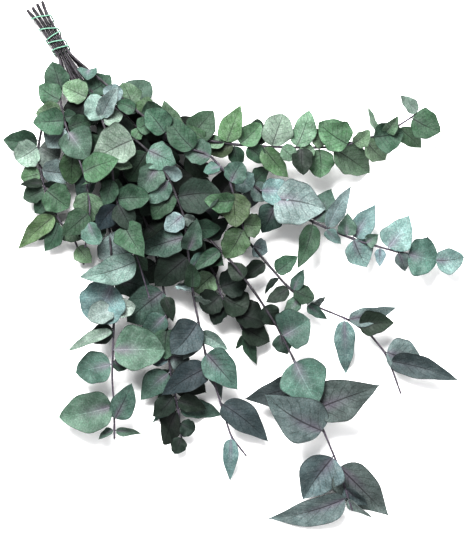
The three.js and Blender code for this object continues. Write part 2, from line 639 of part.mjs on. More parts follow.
// Where every leaf goes: first those with a given place, then the filling, which leaves them in sight.
function layOut() {
  const stems = paths.flatMap((path, spray) => stemNets(path).map((net) => ({ spray, net })));
  const given = sprays.flatMap((spray, number) => (
    spray.leaves.map((row, at) => wishFromRow(number, paths[number], row, givenSeed * number + at))));
  const filling = sprays.flatMap((spray, number) => fillingWishes(paths[number], number, spray.filling));
  const placed = [];
  const seen = [];
  for (const wish of [...given, ...filling]) {
    const whole = leafNet(sizedLeaf(wish, turns[0], sizeSteps[0]));
    const isFilling = filling.includes(wish);
    if (isFilling && seen.some((point) => liesOver(whole, point))) continue;
    const found = settleLeaf(wish, placed, stems);
    if (!found) continue;
    placed.push(found);
    if (!isFilling && wish.lift > hiddenLift) seen.push(found.net.points.at(-1));
  }
  return placed;
}

// A closed solid from a list of points and triangles.
function solidOf(points, triangles) {
  return new wasm.Manifold(new wasm.Mesh({
    numProp: 3,
    vertProperties: new Float32Array(points.flat()),
    triVerts: new Uint32Array(triangles.flat()),
  }));
}

// A closed solid from a geometry whose corners are doubled at its edges.
function solidFromGeometry(geometry) {
  geometry.deleteAttribute("normal");
  geometry.deleteAttribute("uv");
  const merged = mergeVertices(geometry, sameCorner);
  return new wasm.Manifold(new wasm.Mesh({
    numProp: 3,
    vertProperties: new Float32Array(merged.attributes.position.array),
    triVerts: new Uint32Array(merged.index.array),
  }));
}

// A blade: its net moved half its thickness out on each side, and closed round the rim.
function leafSolid(net) {
  const upper = net.points.map((point) => add(point, net.face, bladeThick / 2));
  const lower = net.points.map((point) => add(point, net.face, -bladeThick / 2));
  const count = net.points.length;
  const faces = [];
  for (const [a, b, c] of net.triangles) {
    faces.push([a, b, c], [a + count, c + count, b + count]);
  }
  for (const [from, to] of net.rim) {
    faces.push([from + count, to + count, to], [from + count, to, from]);
  }
  return solidOf([...upper, ...lower], faces);
}

function ringShape(radius, sides) {
  const corners = [];
  for (let side = 0; side < sides; side += 1) {
    const turn = side / sides * 2 * Math.PI;
    corners.push(new THREE.Vector2(radius * Math.cos(turn), radius * Math.sin(turn)));
  }
  return new THREE.Shape(corners);
}

// A round rod along a curve, drawn in towards the curve as its radius falls.
function rodSolid(curve, firstRadius, lastRadius, sides, steps) {
  const geometry = new THREE.ExtrudeGeometry(ringShape(1, sides), { steps, extrudePath: curve });
  const centres = curve.getSpacedPoints(steps);
  const position = geometry.attributes.position;
  const corner = new THREE.Vector3();
  for (let at = 0; at < position.count; at += 1) {
    corner.fromBufferAttribute(position, at);
    let nearest = 0;
    centres.forEach((centre, step) => {
      if (corner.distanceTo(centre) < corner.distanceTo(centres[nearest])) nearest = step;
    });
    const radius = firstRadius + (lastRadius - firstRadius) * nearest / steps;
    corner.sub(centres[nearest]).multiplyScalar(radius).add(centres[nearest]);
    position.setXYZ(at, corner.x, corner.y, corner.z);
  }
  return solidFromGeometry(geometry);
}

// The tie: turns wound down the bundle, and slanting strands back across them.
class WoundCurve extends THREE.Curve {
  constructor(strand) {
    super();
    this.strand = strand;
  }

  // Each turn slants across the bundle and arches towards its cut ends on top.
  getPoint(share, target = new THREE.Vector3()) {
    const passed = share * (this.strand.length - 1);
    const next = Math.max(1, Math.ceil(passed));
    const [fromTurn, fromAlong] = this.strand[next - 1];
    const [toTurn, toAlong] = this.strand[next];
    const angle = between([fromTurn, toTurn], passed - next + 1) * 2 * Math.PI;
    const tilt = tieSlant / 2 * Math.cos(angle) - tieArch / 2 * Math.sin(angle);
    const along = between([fromAlong, toAlong], passed - next + 1) + tilt;
    const spread = bundleSpreadAt(along);
    const halfWide = middleColumn * bundlePitch * spread + stemRadius + tieRadius + tieGap;
    const halfHigh = middleRow * bundleRise + stemRadius + tieRadius + tieGap;
    const powers = Math.cos(angle) ** tieSquareness + Math.sin(angle) ** tieSquareness;
    const outwards = powers ** (-1 / tieSquareness);
    const side = halfWide * Math.cos(angle) * outwards;
    const up = bundleLowest + middleRow * bundleRise + halfHigh * Math.sin(angle) * outwards;
    const point = place([
      bundleStart[0] + bundleAlong[0] * along + bundleAcross[0] * side,
      bundleStart[1] + bundleAlong[1] * along + bundleAcross[1] * side,
      up,
    ]);
    return target.set(...point);
  }
}

function bundleSpreadAt(along) {
  const next = Math.max(1, bundleStations.findIndex(([distance]) => distance >= along));
  const [fromDistance, fromSpread] = bundleStations[next - 1];
  const [toDistance, toSpread] = bundleStations[next];
  return fromSpread + (toSpread - fromSpread) * (along - fromDistance) / (toDistance - fromDistance);
}

function tieSolid() {
  const rods = tieStrands.map((strand) => {
    const turnCount = Math.abs(strand.at(-1)[0] - strand[0][0]);
    const steps = Math.round(turnCount * stepsPerTurn);
    return rodSolid(stepEvenly(new WoundCurve(strand)), tieRadius, tieRadius, tieSides, steps);
  });
  return rods.reduce((whole, rod) => whole.add(rod));
}

function meshFrom(solid, name, look) {
  const { vertProperties, triVerts } = solid.getMesh();
  const geometry = new THREE.BufferGeometry();
  geometry.setAttribute("position", new THREE.BufferAttribute(new Float32Array(vertProperties), 3));
  geometry.setIndex(new THREE.BufferAttribute(new Uint32Array(triVerts), 1));
  geometry.computeVertexNormals();
  const material = new THREE.MeshStandardMaterial({ ...look, flatShading: true });
  const mesh = new THREE.Mesh(geometry, material);
  mesh.name = name;
  return mesh;
}

const group = new THREE.Group();
const paths = sprays.map(stemPath);
const leaves = layOut();
sprays.forEach((spray, number) => {
  const path = paths[number];
  let solid = rodSolid(path.curve, stemRadius, stemTipRadius, stemSides, path.rings);
  for (const { leaf, net } of leaves) {
    if (leaf.spray === number) solid = solid.add(leafSolid(net));
  }
  group.add(meshFrom(solid, spray.name, leafLook));
});
group.add(meshFrom(tieSolid(), "tie", tieLook));

export default group;
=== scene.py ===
# A bunch of dried eucalyptus lying on a pale surface, seen from above.
# Twelve leafy stems fan out from an elastic tie near their cut ends.

import math

import bpy
import numpy as np
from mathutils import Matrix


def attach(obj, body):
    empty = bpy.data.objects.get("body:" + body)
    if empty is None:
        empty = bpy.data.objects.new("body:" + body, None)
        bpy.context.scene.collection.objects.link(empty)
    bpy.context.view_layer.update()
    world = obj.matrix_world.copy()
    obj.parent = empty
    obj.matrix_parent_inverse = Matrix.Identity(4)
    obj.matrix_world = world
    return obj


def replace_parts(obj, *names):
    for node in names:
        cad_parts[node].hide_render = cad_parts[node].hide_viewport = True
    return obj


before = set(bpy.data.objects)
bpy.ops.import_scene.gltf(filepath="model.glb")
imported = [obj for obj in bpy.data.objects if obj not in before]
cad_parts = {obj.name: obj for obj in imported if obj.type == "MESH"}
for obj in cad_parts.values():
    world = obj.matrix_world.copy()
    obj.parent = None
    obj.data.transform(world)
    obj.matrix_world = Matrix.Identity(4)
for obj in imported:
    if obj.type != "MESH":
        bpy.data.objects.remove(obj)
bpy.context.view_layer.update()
print("frame loaded:", len(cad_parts), "nodes")

metre = 0.001  # sizes below are in millimetres, Blender's are in metres
tiny = 1e-9


# Camera, lights and floor.

# One unit of the picture is one millimetre. Places are (across, down) from its top left corner.
picture = {
    "wide": 465, "high": 540,
    "middleAcross": 233, "middleDown": 261.1,  # the bunch's middle
    "levelOfScale": 30, "cameraAbove": 3600, "sensor": 24, "clipEnd": 20, "gamma": 0.68,
}


def place(across, down, up):
    return np.array([across - picture["middleAcross"], picture["middleDown"] - down, up], float)


def addObject(name, data):
    made = bpy.data.objects.new(name, data)
    bpy.context.scene.collection.objects.link(made)
    return made


def addCamera():
    data = bpy.data.cameras.new("camera")
    data.sensor_fit = "VERTICAL"
    data.sensor_height = picture["sensor"]
    data.lens = picture["sensor"] * picture["cameraAbove"] / picture["high"]
    data.clip_end = picture["clipEnd"]
    camera = addObject("camera", data)
    above = picture["levelOfScale"] + picture["cameraAbove"]
    camera.location = place(picture["wide"] / 2, picture["high"] / 2, above) * metre
    scene = bpy.context.scene
    scene.camera = camera
    scene.view_settings.view_transform = "Standard"
    scene.view_settings.gamma = picture["gamma"]


studio = {
    "keyPlace": (-0.45, 1.2, 1.75), "keySize": 1.2, "keyPower": 170,
    "fillPlace": (0.9, -0.5, 1.6), "fillSize": 1.6, "fillPower": 10,
    "skyColour": (0.97, 0.985, 1.0), "skyStrength": 0.95,
    "floorColour": (0.93, 0.918, 0.912), "floorRough": 0.9, "floorSize": 8,
}


def addAreaLight(name):
    data = bpy.data.lights.new(name + " light", "AREA")
    data.shape = "DISK"
    data.size = studio[name + "Size"]
    data.energy = studio[name + "Power"]
    light = addObject(name + " light", data)
    light.location = studio[name + "Place"]
    toMiddle = -light.location
    light.rotation_euler = toMiddle.to_track_quat("-Z", "Y").to_euler()


def addStudio():
    addAreaLight("key")
    addAreaLight("fill")
    world = bpy.data.worlds.new("soft sky")
    world.use_nodes = True
    sky = world.node_tree.nodes["Background"]
    sky.inputs["Color"].default_value = (*studio["skyColour"], 1)
    sky.inputs["Strength"].default_value = studio["skyStrength"]
    bpy.context.scene.world = world

    half = studio["floorSize"] / 2
    mesh = bpy.data.meshes.new("floor")
    corners = [(-half, -half, 0), (half, -half, 0), (half, half, 0), (-half, half, 0)]
    mesh.from_pydata(corners, [], [(0, 1, 2, 3)])
    material = bpy.data.materials.new("pale floor")
    material.use_nodes = True
    shader = material.node_tree.nodes["Principled BSDF"]
    shader.inputs["Base Color"].default_value = (*studio["floorColour"], 1)
    shader.inputs["Roughness"].default_value = studio["floorRough"]
    mesh.materials.append(material)
    addObject("floor", mesh)


addCamera()
addStudio()
print("camera, lights and floor set")


# Where the stems and leaves go, by the same rule as the solids.

bundle = {
    "start": (40, 15), "along": (0.514, 0.857), "across": (0.857, -0.514),
    "pitch": 3.45, "rise": 3.45, "lowest": 4.4, "middleColumn": 1.5,
    "stations": [(-13, 1.7), (0, 1.2), (20, 1.03), (46, 1)],  # distance along, and spread there
    "endSpread": 7, "endSeed": 700,
}
stem = {"radius": 1.55, "tipRadius": 0.85, "spanSteps": 8, "bareTipSteps": 2}
blade = {
    "thick": 0.75, "gap": 0.4, "stalkReach": 1, "rootShare": 0.62, "rootRise": 0.8, "hangingLift": -15,
    "stations": (0.08, 0.36, 0.76), "smallStations": (0.14, 0.62), "smallLength": 33,
    "middleStation": 0.42, "baseRound": 0.46, "tipSharpest": 1.05, "tipRoundest": 0.5,
    "tipSlender": 1.1, "tipByWidth": 0.55, "givenSeed": 100, "hiddenLift": -30,
    "temper": {"bend": (-0.1, 0.28), "fold": (0.06, 0.55), "sharp": (-0.1, 0.28)},
}
filling = {
    "levelOpen": (55, 100), "levelLift": 4, "uprightOpen": (5, 40), "uprightLift": 36,
    "liftSpread": (-14, 14), "rollSpread": (-26, 26), "reachRange": (0.76, 1.14),
    "widthRange": (0.7, 0.94), "seed": 9000, "temperSeeds": 1e6,
}
turning = {
    "liftSteps": (0, 8, -8, 16, -16, 24, -24, 32, -32), "rollSteps": (0, 15, -15, 30, -30),
    "sizeSteps": (1, 0.86), "rollCost": 0.6, "leastShortening": 0.72,
}

# Each spray's route is its stem's middle line past the bundle, as (across, down, up). A leaf is
# (base across, base down, tip across, tip down, width, lift, roll), and its own tone where that
# isn't its spray's. "inside" are the tones of the leaves between the given ones, mostly dark ones that
# are partly the inner leaves' own colour and partly painted shade for the depths of the bunch, and
# "filling" has their first and last span, their spacing, and their first and last length.
sprays = [{
    "node": "leafy_stem_01_upper_right", "column": 0, "row": 1,
    "sharp": 0, "tone": "leafy", "inside": ("green", "deep", "shade", "deep", "leafy"),
    "filling": (6, 8, 26, 38, 34),
    "route": [
        (86, 68, 12), (111, 90, 26), (140, 113, 38), (165, 130, 44), (200, 140, 46), (235, 145, 44),
        (266, 147, 42), (306, 148, 38), (340, 147, 34), (372, 137, 32), (398, 126, 30), (424, 109, 30),
    ],
    "leaves": [
        (372, 137, 404, 133, 31, -2, 10, "deep"), (134, 107, 122, 83, 28, 14, 0),
        (143, 115, 149, 97, 19, 12, 0, "green"), (160, 126, 148, 101, 26, 14, 0, "deep"),
        (176, 133, 164, 100, 22, 16, 0), (192, 138, 214, 111, 30, 15, 0, "deep"),
        (205, 140, 184, 125, 13, 20, 25, "green"), (150, 119, 158, 142, 28, -12, 0, "deep"),
        (224, 144, 241, 106, 24, 20, 0, "green"), (240, 146, 261, 124, 22, 12, 0, "green"),
        (262, 147, 257, 119, 19, 6, 0, "deep"), (272, 148, 283, 114, 32, 16, 0, "sage"),
        (296, 148, 309, 111, 24, 18, 0), (226, 143, 204, 139, 14, 14, 0),
        (235, 145, 208, 153, 19, 2, 0, "olive"), (236, 145, 237, 165, 20, -6, 0, "deep"),
        (247, 146, 266, 163, 18, -5, 0, "deep"), (262, 147, 288, 177, 21, -10, 0, "green"),
        (281, 148, 297, 159, 17, 4, 0), (316, 148, 300, 157, 17, 8, 0),
        (303, 148, 303, 177, 21, -12, 0, "shade"), (319, 148, 320, 178, 28, -4, 0, "green"),
        (340, 147, 325, 138, 16, 14, 0, "green"), (322, 147, 313, 128, 16, 12, 0),
        (350, 144, 316, 122, 33, 18, 0, "green"), (331, 147, 371, 172, 33, -9, 0),
        (352, 144, 371, 132, 19, 16, 30), (376, 136, 370, 105, 21, 20, 72),
        (384, 132, 400, 117, 15, 20, 0), (364, 140, 389, 161, 24, -12, 0),
        (397, 127, 421, 150, 20, -8, 0, "green"), (424, 110, 398, 96, 15, 22, 20, "sage"),
        (408, 116, 441, 132, 31, 0, 0, "deep"),
    ],
}, {
    "node": "leafy_stem_02_right", "column": 1, "row": 1,
    "sharp": 0.12, "tone": "blue", "inside": ("teal", "deep", "shade", "deep"),
    "filling": (5, 8, 22, 42, 38),
    "route": [
        (80, 73, 11), (103, 98, 20), (135, 127, 28), (172, 148, 32), (210, 165, 33), (247, 181, 33),
        (281, 206, 32), (313, 222, 31), (340, 234, 29), (365, 243, 27), (395, 251, 24), (420, 256, 21),
        (440, 262, 18),
    ],
    "leaves": [
        (258, 190, 298, 193, 27, 2, 0), (236, 175, 252, 190, 24, 5, 0),
        (250, 183, 271, 199, 21, -12, 0), (250, 184, 270, 168, 18, 8, 0, "deep"),
        (249, 183, 254, 212, 22, -10, 0), (273, 202, 327, 209, 47, 9, -4, "slate"),
        (275, 203, 262, 233, 28, -6, 0, "teal"), (314, 222, 332, 188, 29, 10, 0, "teal"),
        (314, 223, 297, 269, 21, -10, 0, "deep"), (328, 229, 350, 185, 19, 15, 20, "pale"),
        (325, 228, 341, 244, 19, -5, 50), (345, 236, 348, 213, 20, 18, 0, "teal"),
        (352, 238, 376, 204, 24, 15, 0), (353, 239, 368, 267, 32, -8, 0),
        (365, 243, 379, 235, 14, 10, 0, "teal"), (378, 247, 380, 267, 11, -8, 0, "slate"),
        (387, 249, 410, 214, 33, 12, 0), (397, 252, 406, 272, 15, -12, 0, "slate"),
        (407, 253, 438, 261, 39, 5, 0, "teal"), (434, 260, 465, 257, 26, 5, 0),
        (425, 257, 429, 234, 6, 20, 0),
    ],
}, {
    "node": "leafy_stem_03_top_right", "column": 0, "row": 2,
    "sharp": 0, "tone": "deep", "inside": ("green", "deep", "green", "deep", "shade"),
    "filling": (8, 12, 26, 40, 36),
    "route": [
        (84, 66, 20), (104, 83, 40), (126, 102, 56), (155, 127, 64), (185, 148, 66), (210, 156, 64),
        (228, 176, 60), (237, 208, 54), (247, 240, 48),
    ],
    "leaves": [
        (122, 99, 104, 90, 18, 16, 0, "pale"), (137, 111, 117, 104, 15, 14, 0),
        (152, 125, 138, 130, 19, 2, 0), (164, 135, 147, 111, 27, 12, 0),
        (196, 151, 168, 118, 26, 14, 0), (212, 158, 182, 147, 26, 10, 0, "teal"),
        (222, 168, 203, 171, 14, 10, 25, "teal"), (230, 182, 242, 163, 24, 10, 0, "teal"),
        (233, 190, 236, 228, 30, -6, 0, "olive"), (242, 224, 261, 226, 24, 4, 0, "olive"),
        (243, 230, 225, 259, 29, -4, 0, "lime"), (246, 235, 229, 250, 13, 16, 20, "sage"),
        (89, 70, 87, 86, 20, 62, 0, "teal"),
    ],
}, {
    "node": "leafy_stem_04_lower_right", "column": 0, "row": 0,
    "sharp": 0.15, "tone": "shade", "inside": ("shade", "teal", "shade", "deep"),
    "filling": (6, 9, 31, 42, 38),
    "route": [
        (84, 71, 6), (110, 100, 10), (145, 135, 14), (185, 168, 18), (215, 200, 22), (247, 240, 26),
        (266, 262, 28), (285, 284, 28), (305, 302, 27), (325, 310, 26), (347, 319, 24), (370, 334, 20),
        (385, 352, 16), (393, 370, 12), (401, 392, 8),
    ],
    "leaves": [
        (150, 138, 190, 122, 32, -35, 0), (212, 197, 246, 206, 32, -40, 0),
        (238, 229, 263, 221, 21, 10, 0, "teal"), (252, 245, 268, 252, 20, 0, 0, "slate"),
        (266, 262, 240, 281, 16, -5, 0), (281, 280, 262, 291, 9, -2, 40),
        (291, 290, 303, 268, 14, 12, 20, "teal"), (290, 290, 266, 303, 16, 0, 20),
        (300, 300, 284, 316, 15, 2, 10, "teal"), (275, 272, 298, 256, 18, 10, 0, "deep"),
        (292, 290, 315, 299, 22, 5, 0, "deep"), (306, 303, 326, 299, 19, 8, 60, "slate"),
        (308, 304, 326, 321, 13, 4, 30, "teal"), (346, 318, 399, 308, 19, 8, 15, "slate"),
        (358, 325, 395, 323, 25, 5, 0), (345, 319, 347, 377, 21, -12, 0, "blue"),
        (384, 351, 423, 361, 34, -8, 0, "slate"), (391, 359, 460, 381, 24, 5, 0, "dusk"),
    ],
}, {
    "node": "leafy_stem_05_long_lower", "column": 2, "row": 1,
    "sharp": 0.12, "tone": "ash", "inside": ("shade", "deep", "shade", "slate"),
    "filling": (5, 9, 31, 44, 38),
    "route": [
        (74, 77, 12), (100, 112, 26), (140, 165, 36), (185, 215, 42), (232, 262, 44), (258, 297, 42),
        (278, 328, 38), (294, 360, 34), (308, 392, 31), (322, 427, 25), (338, 465, 17), (352, 509, 12),
    ],
    "leaves": [
        (222, 253, 191, 272, 15, 8, 0, "deep"), (262, 303, 279, 326, 21, -6, 0, "shade"),
        (246, 281, 228, 262, 19, -4, 0, "shade"), (283, 338, 310, 319, 42, 18, 0, "teal"),
        (281, 333, 288, 355, 20, -8, 0, "teal"), (303, 384, 245, 399, 31, -16, 0, "dusk"),
        (295, 361, 318, 405, 48, 2, 0, "teal"), (323, 431, 264, 393, 47, 17, 0),
        (314, 410, 380, 386, 45, 12, 0), (332, 455, 303, 501, 45, -12, -15),
        (350, 503, 268, 522, 31, -6, 0), (338, 464, 389, 521, 41, -11, 15),
        (346, 485, 368, 508, 21, -5, 55), (350, 502, 371, 523, 19, 0, 65, "pale"),
    ],
}, {
    "node": "leafy_stem_06_inner_low", "column": 1, "row": 0,
    "sharp": 0, "tone": "shade", "inside": ("shade", "deep", "shade"),
    "filling": (5, 9, 26, 42, 38),
    "route": [
        (76, 77, 6), (100, 110, 8), (130, 150, 12), (160, 200, 16), (190, 240, 18), (213, 270, 20),
        (222, 298, 20), (238, 320, 18), (247, 338, 16),
    ],
    "leaves": [
        (130, 150, 92, 174, 34, -35, 0), (160, 200, 126, 228, 34, -35, 0),
        (200, 253, 196, 288, 30, -38, 0), (214, 272, 194, 292, 26, 0, 0, "leafy"),
        (219, 286, 247, 276, 30, 0, 0), (221, 294, 202, 311, 27, 3, 0), (223, 299, 248, 310, 34, 2, 0),
        (228, 306, 213, 325, 21, 2, 0), (234, 316, 266, 323, 32, 0, 0), (242, 327, 270, 342, 26, 3, 0),
        (247, 337, 258, 365, 14, 0, 0, "deep"), (245, 333, 236, 351, 7, 6, 0, "deep"),
    ],
}, {
    "node": "leafy_stem_07_centre", "column": 1, "row": 2,
    "sharp": 0.03, "tone": "teal", "inside": ("deep", "shade", "teal", "shade", "deep"),
    "filling": (5, 8, 24, 40, 36),
    "route": [
        (78, 75, 20), (98, 100, 40), (122, 129, 54), (148, 151, 60), (170, 180, 60), (184, 215, 56),
        (188, 250, 48), (194, 300, 38), (200, 328, 34), (206, 356, 31), (219, 398, 26), (231, 437, 20),
        (245, 455, 14),
    ],
    "leaves": [
        (136, 141, 92, 162, 40, 8, 0, "sage"), (134, 139, 143, 129, 13, 15, 0, "green"),
        (148, 150, 177, 165, 30, 8, 0), (160, 167, 140, 198, 27, 5, 0),
        (161, 168, 184, 176, 19, 4, 40, "pale"), (170, 181, 150, 204, 20, -2, 0),
        (176, 195, 152, 220, 24, -16, 0, "deep"), (178, 196, 222, 194, 36, 5, 0, "shade"),
        (184, 213, 165, 231, 20, 0, 0, "slate"), (185, 214, 199, 223, 16, 5, 40, "pale"),
        (186, 226, 221, 232, 24, -12, 0, "deep"), (186, 238, 139, 251, 30, 5, 0),
        (187, 248, 199, 219, 21, 16, 0), (190, 268, 219, 249, 17, 6, 0),
        (189, 258, 155, 286, 33, -10, 0, "shade"), (192, 285, 190, 262, 17, 18, 0, "deep"),
        (193, 292, 175, 287, 21, 5, 72, "pale"), (193, 295, 211, 303, 21, 5, 72, "sage"),
        (199, 322, 171, 354, 35, -3, 0, "dusk"), (201, 333, 228, 351, 17, 10, 25, "sage"),
        (201, 337, 182, 359, 15, 6, 20, "pale"), (206, 357, 220, 400, 16, -8, 30, "slate"),
        (205, 354, 238, 390, 33, 3, 0), (209, 368, 161, 396, 30, -4, 0, "dusk"),
        (220, 402, 269, 443, 30, -2, 0, "dusk"), (231, 437, 230, 483, 16, -8, 0, "blue"),
    ],
}, {
    "node": "leafy_stem_08_lower_centre", "column": 2, "row": 0,
    "sharp": 0.03, "tone": "shade", "inside": ("shade", "deep", "shade", "teal"),
    "filling": (5, 9, 30, 42, 40),
    "route": [
        (70, 79, 6), (88, 110, 10), (110, 150, 15), (132, 190, 20), (150, 232, 24), (164, 290, 26),
        (168, 340, 25), (170, 372, 23), (178, 410, 17), (182, 446, 8),
    ],
    "leaves": [
        (164, 292, 128, 324, 43, 0, 0, "teal"), (165, 298, 173, 322, 14, -5, 0),
        (167, 318, 142, 340, 24, -3, 0, "teal"), (168, 330, 165, 360, 29, -3, 0, "deep"),
        (169, 354, 190, 360, 21, 0, 20, "slate"), (169, 362, 150, 364, 15, 5, 40, "slate"),
        (170, 373, 140, 401, 27, 0, 0, "teal"), (172, 378, 206, 394, 30, -8, 0),
        (170, 366, 160, 392, 24, -12, 0, "deep"), (176, 396, 152, 417, 24, -8, 0),
        (177, 399, 207, 410, 19, -8, 0), (177, 405, 145, 424, 14, 4, 40, "teal"),
        (178, 411, 220, 416, 19, 0, 0, "teal"), (180, 412, 159, 442, 29, -6, 0),
        (180, 422, 195, 431, 18, 0, 0), (184, 441, 174, 455, 16, 0, 0),
    ],
}, {
    "node": "leafy_stem_09_top_left", "column": 2, "row": 2,
    "sharp": 0, "tone": "leafy", "inside": ("deep", "shade", "green", "deep", "shade"),
    "filling": (4, 10, 27, 40, 36),
    "route": [
        (72, 79, 20), (88, 98, 38), (102, 118, 50), (111, 145, 57), (113, 170, 58), (116, 195, 56),
        (126, 230, 50), (140, 265, 44), (149, 296, 38),
    ],
    "leaves": [
        (88, 98, 62, 86, 25, 14, 0), (104, 121, 91, 95, 27, 12, 0, "sage"),
        (103, 119, 120, 89, 18, 16, 0, "pale"), (105, 124, 125, 117, 19, 6, 0, "sage"),
        (103, 119, 87, 113, 16, 2, 0), (112, 158, 92, 172, 16, -2, 0, "green"),
        (112, 160, 134, 168, 14, -4, 0), (113, 172, 82, 186, 14, 4, 40, "green"),
        (113, 178, 104, 206, 22, 0, 25, "deep"), (114, 180, 124, 206, 17, -5, -25, "deep"),
        (118, 206, 98, 231, 24, -12, 0, "dusk"), (118, 206, 133, 232, 24, -10, 0, "shade"),
        (135, 252, 148, 271, 16, -8, 0, "deep"), (138, 261, 80, 277, 30, -3, 0, "sage"),
    ],
}, {
    "node": "leafy_stem_10_lower_left", "column": 3, "row": 1,
    "sharp": 0, "tone": "teal", "inside": ("deep", "shade", "teal"),
    "filling": (5, 9, 26, 44, 40),
    "route": [
        (65, 78, 11), (75, 100, 20), (87, 130, 28), (97, 160, 33), (105, 195, 36), (110, 232, 37),
        (113, 278, 36), (114, 320, 34), (113, 350, 31), (112, 378, 28), (114, 410, 23), (114, 437, 17),
    ],
    "leaves": [
        (110, 230, 127, 260, 45, 2, 0, "pale"), (112, 264, 130, 272, 19, 0, 0),
        (113, 283, 91, 322, 47, -3, 0, "blue"), (113, 277, 148, 288, 32, -8, 0),
        (114, 312, 88, 320, 24, 10, 0, "pale"), (114, 310, 136, 306, 19, 10, 0, "pale"),
        (114, 328, 88, 341, 20, -8, 0, "shade"), (114, 331, 66, 351, 13, 12, 50, "sage"),
        (113, 349, 166, 351, 45, 3, 0), (114, 364, 75, 373, 33, 0, 0), (114, 359, 128, 368, 15, 0, 0),
        (114, 407, 57, 418, 41, 3, 0), (114, 419, 132, 383, 25, 15, 0), (114, 437, 98, 440, 9, 0, 30),
        (114, 437, 142, 433, 10, 0, 30),
    ],
}, {
    "node": "leafy_stem_11_left_top", "column": 3, "row": 2,
    "sharp": 0, "tone": "deep", "inside": ("green", "deep", "shade", "green"),
    "filling": (5, 8, 26, 38, 34),
    "route": [
        (62, 76, 20), (60, 98, 36), (66, 125, 46), (77, 152, 51), (87, 180, 52), (91, 208, 48),
        (86, 245, 40),
    ],
    "leaves": [
        (61, 89, 52, 61, 26, 12, 0), (60, 100, 39, 86, 25, 8, 0), (62, 113, 36, 114, 25, 4, 0, "leafy"),
        (64, 118, 77, 115, 15, 8, 0), (67, 128, 96, 120, 21, 0, 0),
        (69, 131, 89, 160, 36, 5, 0, "teal"), (68, 130, 48, 148, 28, -10, 0, "pale"),
        (88, 190, 86, 226, 32, -3, 0, "leafy"), (90, 214, 62, 236, 26, -3, 0),
        (89, 224, 100, 246, 21, -8, 0, "teal"),
    ],
}, {
    "node": "leafy_stem_12_left", "column": 3, "row": 0,
    "sharp": 0, "tone": "deep", "inside": ("green", "deep", "shade"),
    "filling": (7, 8, 22, 32, 30),
    "route": [
        (59, 75, 6), (50, 100, 12), (41, 128, 18), (37, 152, 21), (42, 180, 22), (50, 205, 21),
        (61, 224, 17), (74, 240, 12), (82, 262, 7),
    ],
    "leaves": [
        (37, 145, 15, 160, 29, 3, 0, "sage"), (37, 147, 59, 158, 29, 3, 0, "pale"),
        (40, 168, 79, 172, 27, 0, 0, "pale"), (41, 174, 20, 178, 21, 0, 0, "green"),
        (43, 184, 19, 184, 10, 10, 45, "shade"), (43, 184, 57, 184, 10, 10, 45, "shade"),
        (45, 188, 22, 198, 22, -5, 0), (46, 190, 69, 208, 32, 3, 0), (48, 200, 33, 212, 17, -4, 0),
        (53, 211, 34, 246, 22, -38, 0, "leafy"), (54, 214, 16, 249, 20, -8, 0, "lime"),
        (60, 222, 44, 252, 21, -8, 0), (62, 224, 84, 238, 25, 0, 0, "leafy"),
        (77, 245, 91, 263, 18, -5, 0, "leafy"), (38, 140, 1, 139, 27, 0, 0),
    ],
}]


diceStep, diceShift, diceSides = 1664525, 1013904223, 2 ** 32


# Even draws from 0 to 1 that are the same on every run.
def dice(seed):
    state = seed

    def roll():
        nonlocal state
        state = (state * diceStep + diceShift) % diceSides
        return state / diceSides

    return roll


def between(limits, share):
    return limits[0] + (limits[1] - limits[0]) * share


# One draw for each trait, in their order.
def drawn(traits, seed):
    roll = dice(seed)
    roll()
    return {trait: between(limits, roll()) for trait, limits in traits.items()}


def dotOf(a, b):
    return a[..., 0] * b[..., 0] + a[..., 1] * b[..., 1] + a[..., 2] * b[..., 2]


# Written out, because np.cross takes about twice as long in the layout.
def crossOf(a, b):
    return np.stack([
        a[..., 1] * b[..., 2] - a[..., 2] * b[..., 1],
        a[..., 2] * b[..., 0] - a[..., 0] * b[..., 2],
        a[..., 0] * b[..., 1] - a[..., 1] * b[..., 0],
    ], -1)


def lengthOf(a):
    return np.sqrt(dotOf(a, a))


def bundlePlace(along, side, up):
    start, ahead, sideways = bundle["start"], bundle["along"], bundle["across"]
    across, down = (start[at] + ahead[at] * along + sideways[at] * side for at in range(2))
    return place(across, down, up)


def bundlePoint(spray, number, station):
    distance, spread = bundle["stations"][station]
    if station == 0:
        distance += (dice(bundle["endSeed"] + number)() - 0.5) * bundle["endSpread"]
    side = (bundle["middleColumn"] - spray["column"]) * bundle["pitch"] * spread
    return bundlePlace(distance, side, bundle["lowest"] + bundle["rise"] * spray["row"])


# A stem goes straight from each of its points to the next, in even steps.
def stemPath(spray, number):
    inBundle = [bundlePoint(spray, number, station) for station in range(len(bundle["stations"]))]
    points = np.array(inBundle + [place(*point) for point in spray["route"]])
    steps = np.arange((len(points) - 1) * stem["spanSteps"] + 1) / stem["spanSteps"]
    return np.stack([np.interp(steps, range(len(points)), axis) for axis in points.T], 1)


def stemRadiusAt(path, step):
    return stem["radius"] + (stem["tipRadius"] - stem["radius"]) * step / (len(path) - 1)


# A leaf's own directions: along the blade, to its left side, and out of its upper face.
def leafFrame(leaf):
    heading, lift, roll = leaf["heading"], math.radians(leaf["lift"]), math.radians(leaf["roll"])
    level = np.array([-math.sin(heading), math.cos(heading), 0])
    along = np.array([
        math.cos(heading) * math.cos(lift), math.sin(heading) * math.cos(lift), math.sin(lift),
    ])
    upright = crossOf(along, level)
    side = level * math.cos(roll) + upright * math.sin(roll)
    face = upright * math.cos(roll) - level * math.sin(roll)
    return along, side, face


def outlineShare(leaf, share):
    tipSharp = blade["tipSlender"] - blade["tipByWidth"] * leaf["width"] / leaf["length"] + leaf["sharp"]
    tipSharp = min(max(tipSharp, blade["tipRoundest"]), blade["tipSharpest"])
    widest = blade["baseRound"] / (blade["baseRound"] + tipSharp)
    full = widest ** blade["baseRound"] * (1 - widest) ** tipSharp
    return share ** blade["baseRound"] * (1 - share) ** tipSharp / full


